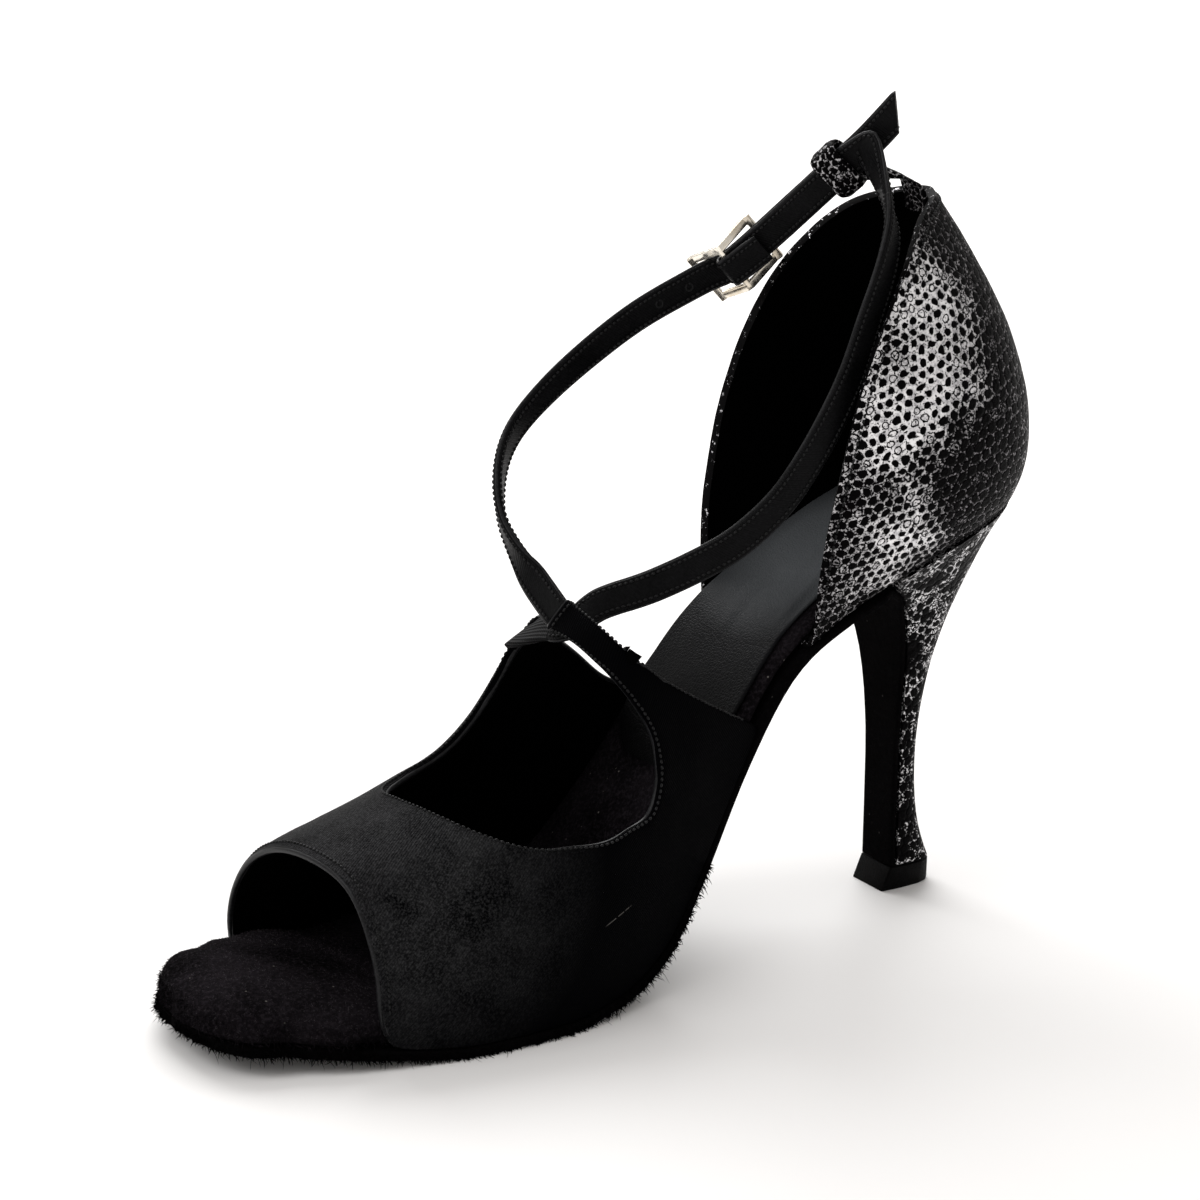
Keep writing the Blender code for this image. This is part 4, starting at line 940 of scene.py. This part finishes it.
# %% Unwrapping in metres
def flat_map(piece, climb, main=None):
    """Unwraps the piece and scales the map to metres, turned so that it climbs along a direction."""
    mesh = piece.data
    while mesh.uv_layers:
        mesh.uv_layers.remove(mesh.uv_layers[0])
    mesh.uv_layers.new(name="surface")
    edit_all(piece, (bpy.ops.uv.unwrap, {"method": "ANGLE_BASED", "margin": 0.001}))
    mesh = piece.data
    layer = mesh.uv_layers["surface"]
    uv = np.array([item.uv for item in layer.data], float)
    corners = np.array([mesh.vertices[loop.vertex_index].co for loop in mesh.loops], float)
    chosen = [mesh.polygons[i] for i in main] if main else list(mesh.polygons)
    flat_area = 0.0
    for polygon in chosen:
        x, y = uv[list(polygon.loop_indices)].T
        flat_area += 0.5 * abs(np.dot(x, np.roll(y, -1)) - np.dot(y, np.roll(x, -1)))
    uv *= math.sqrt(sum(p.area for p in chosen) / flat_area)
    used = [loop for polygon in chosen for loop in polygon.loop_indices]
    height = corners[used] @ np.array(climb)
    fit = np.linalg.lstsq(np.c_[uv[used], np.ones(len(used))], height, rcond=None)[0][:2]
    fit /= np.linalg.norm(fit)
    turned = np.c_[uv @ np.array([fit[1], -fit[0]]), uv @ fit]
    turned -= turned[used].mean(0)
    layer.data.foreach_set("uv", turned.astype(np.float32).ravel())
    print(piece.name, "map spans", [round(c / MM) for c in np.ptp(turned[used], axis=0)], "mm")


# %% Borders of a sheet
def search_tree(mesh):
    return BVHTree.FromPolygons([v.co for v in mesh.vertices], [tuple(p.vertices) for p in mesh.polygons])


sole_tree = search_tree(nodes["outsole"].data)


def sheet_border(piece):
    """The border of a sheet in order: each point with the direction into the sheet and the normal."""
    shape = bmesh.new()
    shape.from_mesh(piece.data)
    edges = [e for e in shape.edges if e.is_boundary]
    following = {}
    for edge in edges:
        for v in edge.verts:
            following.setdefault(v, []).append(edge.other_vert(v))
    start = edges[0].verts[0]
    chain = [start]
    before, here = None, start
    while True:
        onward = [v for v in following[here] if v is not before]
        before, here = here, onward[0]
        if here is start:
            break
        chain.append(here)
    border = []
    for i, v in enumerate(chain):
        tangent = (chain[(i + 1) % len(chain)].co - chain[i - 1].co).normalized()
        centre = sum((f.calc_center_median() for f in v.link_faces), Vector()) / len(v.link_faces)
        inward = centre - v.co
        inward = (inward - tangent * inward.dot(tangent)).normalized()
        border.append((v.co.copy(), inward, v.normal.copy()))
    shape.free()
    return border


def border_runs(border, keep):
    """Stretches of the border whose points pass a test, each as a list."""
    flags = [keep(point) for point, inward, normal in border]
    if all(flags):
        return [border]
    start = flags.index(False)
    runs, run = [], []
    for k in range(len(border)):
        i = (start + k) % len(border)
        if flags[i]:
            run.append(border[i])
        elif run:
            runs.append(run)
            run = []
    if run:
        runs.append(run)
    return [r for r in runs if len(r) > 6]


def off_the_sole(point):
    return sole_tree.find_nearest(point)[3] > 1.0 * MM


def seam_spots(piece, runs, inset, step=STITCH_STEP):
    """Places for stitches at a distance inside each run of the border."""
    surface = search_tree(piece.data)
    spots = []
    for run in runs:
        line = []
        for k in range(len(run)):
            near = run[max(k - 2, 0):k + 3]
            inward = sum((item[1] for item in near), Vector()) / len(near)
            line.append(run[k][0] + inward.normalized() * inset)
        for point, direction in along_path(line[4:-4], step):
            place, normal, _, _ = surface.find_nearest(point)
            spots.append((place, direction, normal))
    return spots


def tube(name, lines, radius, material, slot, sides=8):
    """Soft edge: a thin round cord along each line."""
    vertices, faces = [], []
    for line in lines:
        side = None
        first = len(vertices)
        for k, point in enumerate(line):
            tangent = (line[min(k + 1, len(line) - 1)] - line[max(k - 1, 0)]).normalized()
            side = tangent.orthogonal() if side is None else side - tangent * side.dot(tangent)
            side = side.normalized()
            other = tangent.cross(side)
            taper = min(1, 0.4 + 0.3 * min(k, len(line) - 1 - k))
            for c in range(sides):
                angle = 2 * math.pi * c / sides
                vertices.append(point + (side * math.cos(angle) + other * math.sin(angle)) * radius * taper)
        for k in range(len(line) - 1):
            for c in range(sides):
                d = (c + 1) % sides
                a = first + k * sides
                faces.append((a + c, a + d, a + sides + d, a + sides + c))
        faces.append(tuple(first + c for c in range(sides))[::-1])
        faces.append(tuple(first + (len(line) - 1) * sides + c for c in range(sides)))
    shade(in_place(name, vertices, faces, material, slot), SOFT_ANGLE)


# %% Vamp
VAMP_WALL = 1.6 * MM
COUNTER_WALL = 1.9 * MM


def vamp_core(point):
    return Vector((point.x, 0, max(point.z * 0.4, 8 * MM)))


def counter_core(point):
    return Vector((60 * MM, 0, point.z))


def solidify(piece, wall, materials):
    for material in materials:
        piece.data.materials.append(material)
    modifier = piece.modifiers.new("wall", "SOLIDIFY")
    modifier.thickness = wall
    modifier.offset = -1
    modifier.use_even_offset = False
    modifier.material_offset = 1
    modifier.material_offset_rim = 2
    apply_all(piece)


def soft_sheet(node, name, core, climb, levels, lumps, seam_inset):
    """The outer sheet with its map and soft lumps, the free runs of its border and its seam."""
    sheet = outer_sheet(node, name, core)
    flat_map(sheet, climb)
    subdivide(sheet, levels)
    for vertex in sheet.data.vertices:
        if off_the_sole(vertex.co):
            lump = sum(noise.noise(vertex.co / (size * MM)) * rise for size, rise in lumps)
            vertex.co += vertex.normal * lump * MM
    runs = border_runs(sheet_border(sheet), off_the_sole)
    return sheet, runs, seam_spots(sheet, runs, seam_inset)


def smoothed(line, rounds):
    for _ in range(rounds):
        line = line[:1] + [(a + b * 2 + c) / 4 for a, b, c in zip(line, line[1:], line[2:])] + line[-1:]
    return line


vamp, vamp_runs, vamp_seam = soft_sheet("vamp", "vamp_satin", vamp_core, (1.0, 0.0, 0.6), 2,
                                        ((16, 0.22), (5, 0.05)), 1.7 * MM)
solidify(vamp, VAMP_WALL, [satin, lining, edge_satin])
bevel(vamp, 0.45 * MM)
shade(vamp, 55)
dress(vamp, [], "satin", "vamp")
stitches("vamp_stitches", vamp_seam, "satin")
edge_lines = [smoothed([point - normal * VAMP_WALL * 0.42 for point, inward, normal in run], 6)
              for run in vamp_runs]
tube("vamp_edge", edge_lines, 0.74 * MM, edge_satin, "satin")

# %% Counter
counter, _, counter_seam = soft_sheet("counter", "counter_skin", counter_core, (0.0, 0.0, 1.0), 3,
                                                 ((14, 0.25), (4, 0.06)), 1.9 * MM)
solidify(counter, COUNTER_WALL, [counter_print, lining, cut_edge])
bevel(counter, 0.5 * MM)
shade(counter, 55)
dress(counter, [], "snake_print", "counter")
stitches("counter_stitches", counter_seam, "snake_print")

# %% [markdown]
# ## The heel
# The heel is a block of plastic covered with the same printed leather. Its sharp edges are
# marked as seams, so that the cover unwraps as one flat piece, and then rounded.

# %% Heel and top piece
heel = merged_copy("heel", "heel_cover")
edit_all(heel, (bpy.ops.mesh.select_mode, {"type": "EDGE"}),
         (bpy.ops.mesh.select_all, {"action": "DESELECT"}),
         (bpy.ops.mesh.edges_select_sharp, {"sharpness": math.radians(50)}),
         (bpy.ops.mesh.mark_seam, {"clear": False}), (bpy.ops.mesh.select_mode, {"type": "FACE"}))
flat_map(heel, (0.0, 0.0, 1.0), smooth_patches(heel.data, 50)[0])
bevel(heel, 0.5 * MM, 2)
subdivide(heel, 2)
shade(heel)
dress(heel, [heel_print], "snake_print", "heel")


def casting(node, name, edge, material, slot):
    piece = merged_copy(node, name)
    bevel(piece, edge)
    shade(piece)
    dress(piece, [material], slot, node)


casting("heel_tip", "heel_tip_rubber", 0.4 * MM, rubber, "rubber")

# %% [markdown]
# ## Straps
# Each strap is a strip of satin folded round a tape and stitched along both edges.

# %% Straps
STRAP_SEAM = 0.95 * MM
strap_section = soft_section(0.55 * MM, 0.14 * MM, 14, 0.14 * MM, STRAP_SEAM)


def longer(line, back):
    """Starts a strip earlier by the given length, so that it reaches into the seam before it."""
    middle, across, through = line
    run = (middle[1] - middle[0]).normalized()
    return [middle[0] - run * back] + middle, [across[0]] + across, [through[0]] + through


def strap_seams(line, skip):
    """Stitch places on both faces of a strap, beside both edges."""
    middle, across, through = line
    spots = []
    for side in (-1, 1):
        for face in (-1, 1):
            path, normals = [], []
            for point, u, v in zip(middle, across, through):
                path.append(point + u.normalized() * side * (u.length / 2 - STRAP_SEAM) + v * (0.5 * face))
                normals.append(v.normalized() * face)
            for point, direction in along_path(path[skip:], STITCH_STEP):
                nearest = min(range(len(path)), key=lambda k: (path[k] - point).length)
                spots.append((point, direction, normals[nearest]))
    return spots


def folded_edges(line):
    """Lines along both edges of a strap, where the satin is folded round the tape."""
    middle, across, through = line
    return [[point + u * (side * 0.485) for point, u in zip(middle, across)] for side in (-1, 1)]


def strap(node, back, skip, off_middle=0.0):
    line = longer(strip_line(node, 5, off_middle), back)
    piece = sweep(node + "_satin", line, strap_section)
    shade(piece, SOFT_ANGLE)
    dress(piece, [strap_satin], "satin", node)
    stitches(node + "_stitches", strap_seams(line, skip), "satin")
    tube(node + "_edges", folded_edges(line), 0.42 * MM, edge_satin, "satin")
    return line


over_line = strap("strap_over", 1.3 * MM, 3, 2 * MM)
strap("strap_under", 0.5 * MM, 1)

# %% Punched holes and elastic
HOLES = [(31.7, 28.3, 136.8), (38.6, 26.8, 140.1)]
rings = []
for hole in HOLES:
    k = min(range(len(over_line[0])), key=lambda i: (over_line[0][i] - Vector(hole) * MM).length)
    point, u, v = (part[k] for part in over_line)
    w = u.cross(v).normalized()
    for face in (-1, 1):
        rings.append([point + v * (0.5 * face) + (u.normalized() * math.cos(a) + w * math.sin(a)) * 0.8 * MM
                      for a in (2 * math.pi * i / 24 for i in range(25))])
tube("strap_holes", rings, 0.26 * MM, thread, "satin")

elastic_line = longer(strip_line("elastic", 5), 1.0 * MM)
elastic = sweep("elastic_ribbed", elastic_line, soft_section(0.4 * MM, 0.05 * MM, 14))
shade(elastic, SOFT_ANGLE)
dress(elastic, [ribbed], "elastic", "elastic")

# %% [markdown]
# ## Loop and buckle
# The loop is a soft band of the printed leather that holds both straps and runs back to the
# counter. The buckle is a bowed frame of cast metal with a pin: the edges of its solid are
# rounded by a bevel.

# %% Loop and buckle
loop_line = strip_line("loop", 6)


def puffed(half, wall):
    points = []
    for k in range(20):
        angle = 2 * math.pi * k / 20
        s, t = math.cos(angle), math.sin(angle)
        points.append((half * math.copysign(abs(s) ** 0.6, s), wall * 1.5 * math.copysign(abs(t) ** 0.85, t)))
    return points


loop = sweep("loop_skin", loop_line, puffed)
loop.data.uv_layers["along"].name = "surface"
for vertex in loop.data.vertices:
    vertex.co += vertex.normal * noise.noise(vertex.co / (3.4 * MM)) * 0.45 * MM
shade(loop, SOFT_ANGLE)
dress(loop, [loop_print], "snake_print", "loop")

casting("buckle", "buckle_frame", 0.3 * MM, champagne, "metal")
casting("prong", "buckle_pin", 0.2 * MM, champagne, "metal")

# %% [markdown]
# ## Fuzz
# The cut edge of the suede sole is rough: short fibres stand out all round it, and a few long
# ones hang down. The toe of the insole has a finer nap.

# %% Fuzz on the sole
def edge_roots(line, draw, per_mm, spread_down, start, end):
    """Random roots on both edges of a board, between two shares of its length."""
    middle, across, through = line
    roots = []
    last = len(middle) - 1
    for k in range(int(start * last), int(end * last)):
        span = (middle[k + 1] - middle[k]).length
        count = span / MM * per_mm
        for side in (-1, 1):
            corner, following = (middle[i] + across[i] * side / 2 for i in (k, k + 1))
            edge_run = (following - corner).length
            for _ in range(int(count * edge_run / max(span, 1e-6) + draw.random())):
                share = draw.random()
                point = middle[k].lerp(middle[k + 1], share)
                wide = across[k].lerp(across[k + 1], share)
                thick = through[k].lerp(through[k + 1], share)
                depth = draw.uniform(-0.5, spread_down)
                outward = wide.normalized() * side
                if k < 4:
                    outward = (outward + Vector((-1, 0, 0))).normalized()
                root = point + wide * side * 0.496 + thick * depth * 0.9
                way = outward * 0.9 - thick.normalized() * draw.uniform(-0.5, 0.7)
                roots.append((root, way.normalized()))
    return roots


FUZZ_BACK = 0.60
draw = random.Random(7)
fibres("outsole_fuzz", edge_roots(outsole_line, draw, 14.0, 0.5, 0.0, 0.66), sole_suede, "suede", 11,
       0.8 * MM, 2.2 * MM, 0.16 * MM)
fibres("outsole_long_fibres", edge_roots(outsole_line, draw, 0.8, -0.2, 0.0, FUZZ_BACK), sole_suede,
       "suede", 12, 1.8 * MM, 3.8 * MM, 0.085 * MM)
fibres("insole_fuzz", edge_roots(insole_line, draw, 14.0, 0.4, 0.0, FUZZ_BACK), suede, "suede", 13,
       0.6 * MM, 1.8 * MM, 0.13 * MM)

# %% Nap on the toe
NAP_BACK = -52 * MM
NAP_COUNT = 7000
tops = [p for p in insole.data.polygons
        if p.center.x < NAP_BACK and p.normal.z > -0.2 and len(p.vertices) == 4]
areas = list(itertools.accumulate(p.area for p in tops))
roots = []
for _ in range(NAP_COUNT):
    chosen = tops[min(bisect.bisect(areas, draw.random() * areas[-1]), len(tops) - 1)]
    a, b, c, d = (insole.data.vertices[i].co for i in chosen.vertices)
    point = a.lerp(b, draw.random()).lerp(d.lerp(c, draw.random()), draw.random())
    lean = Vector((draw.uniform(-1, 0.2), draw.uniform(-0.6, 0.6), 0.1))
    roots.append((point - chosen.normal * 0.05 * MM, (chosen.normal * 0.5 + lean).normalized()))
fibres("toe_nap", roots, raised_nap, "suede", 14, 0.35 * MM, 0.9 * MM, 0.06 * MM)

# %% [markdown]
# ## Camera
# The camera stands where the photographer stood: above the toe, on the arch side, with a
# long lens. Its place is worked out from an azimuth, a height angle, a small roll and a
# distance.

# %% Camera
AZIMUTH = math.radians(-32.22)
ELEVATION = math.radians(17.24)
ROLL = math.radians(0.39)
DISTANCE = 771 * MM
LENS = 107.36
TARGET = Vector((-1.75, -1.47, 81.0)) * MM

back = Vector((math.sin(AZIMUTH) * math.cos(ELEVATION), -math.cos(AZIMUTH) * math.cos(ELEVATION),
               math.sin(ELEVATION)))
level = Vector((math.cos(AZIMUTH), math.sin(AZIMUTH), 0))
upright = back.cross(level)
right = level * math.cos(ROLL) + upright * math.sin(ROLL)
up = upright * math.cos(ROLL) - level * math.sin(ROLL)
camera_data = bpy.data.cameras.new("camera")
camera_data.lens = LENS
camera_data.sensor_width = 36
camera_data.clip_start = 0.01
camera = new_piece("camera", camera_data)
place = Matrix((right, up, back)).transposed().to_4x4()
place.translation = TARGET + back * DISTANCE
camera.matrix_world = place
bpy.context.scene.camera = camera
print("camera at", [round(c, 3) for c in place.translation])

# %% [markdown]
# ## Floor and light
# A plain pale floor in a bright, slightly warm room. The main lamp is broad and hangs behind
# the shoe, so the soft shadow falls towards the camera, as it does in the photograph.

# %% Floor and light
bpy.ops.object.select_all(action="DESELECT")
bpy.ops.mesh.primitive_plane_add(size=8, location=(0, 0, 0))
floor = bpy.context.object
floor.name = "floor"
floor_paint, floor_tree, floor_surface = new_material("pale floor")
finish_surface(floor_tree, floor_surface, {"Base Color": (0.93, 0.92, 0.915, 1), "Roughness": 0.7}, {})
floor.data.materials.append(floor_paint)

world = bpy.data.worlds.new("bright room")
world.use_nodes = True
world.node_tree.nodes["Background"].inputs["Color"].default_value = (1, 0.975, 0.95, 1)
world.node_tree.nodes["Background"].inputs["Strength"].default_value = 0.60
bpy.context.scene.world = world


def softbox(name, spot, size, power, target=(0, 0, 0.08)):
    data = bpy.data.lights.new(name, "AREA")
    data.shape = "RECTANGLE"
    data.size, data.size_y = size
    data.energy = power
    lamp = new_piece(name, data)
    lamp.location = spot
    lamp.rotation_euler = (Vector(target) - Vector(spot)).to_track_quat("-Z", "Y").to_euler()


softbox("back lamp", (0.40, 1.10, 1.15), (1.5, 1.1), 24)
softbox("window", (-0.9, 0.1, 0.9), (0.7, 0.7), 5)
bpy.context.scene.view_settings.view_transform = "Standard"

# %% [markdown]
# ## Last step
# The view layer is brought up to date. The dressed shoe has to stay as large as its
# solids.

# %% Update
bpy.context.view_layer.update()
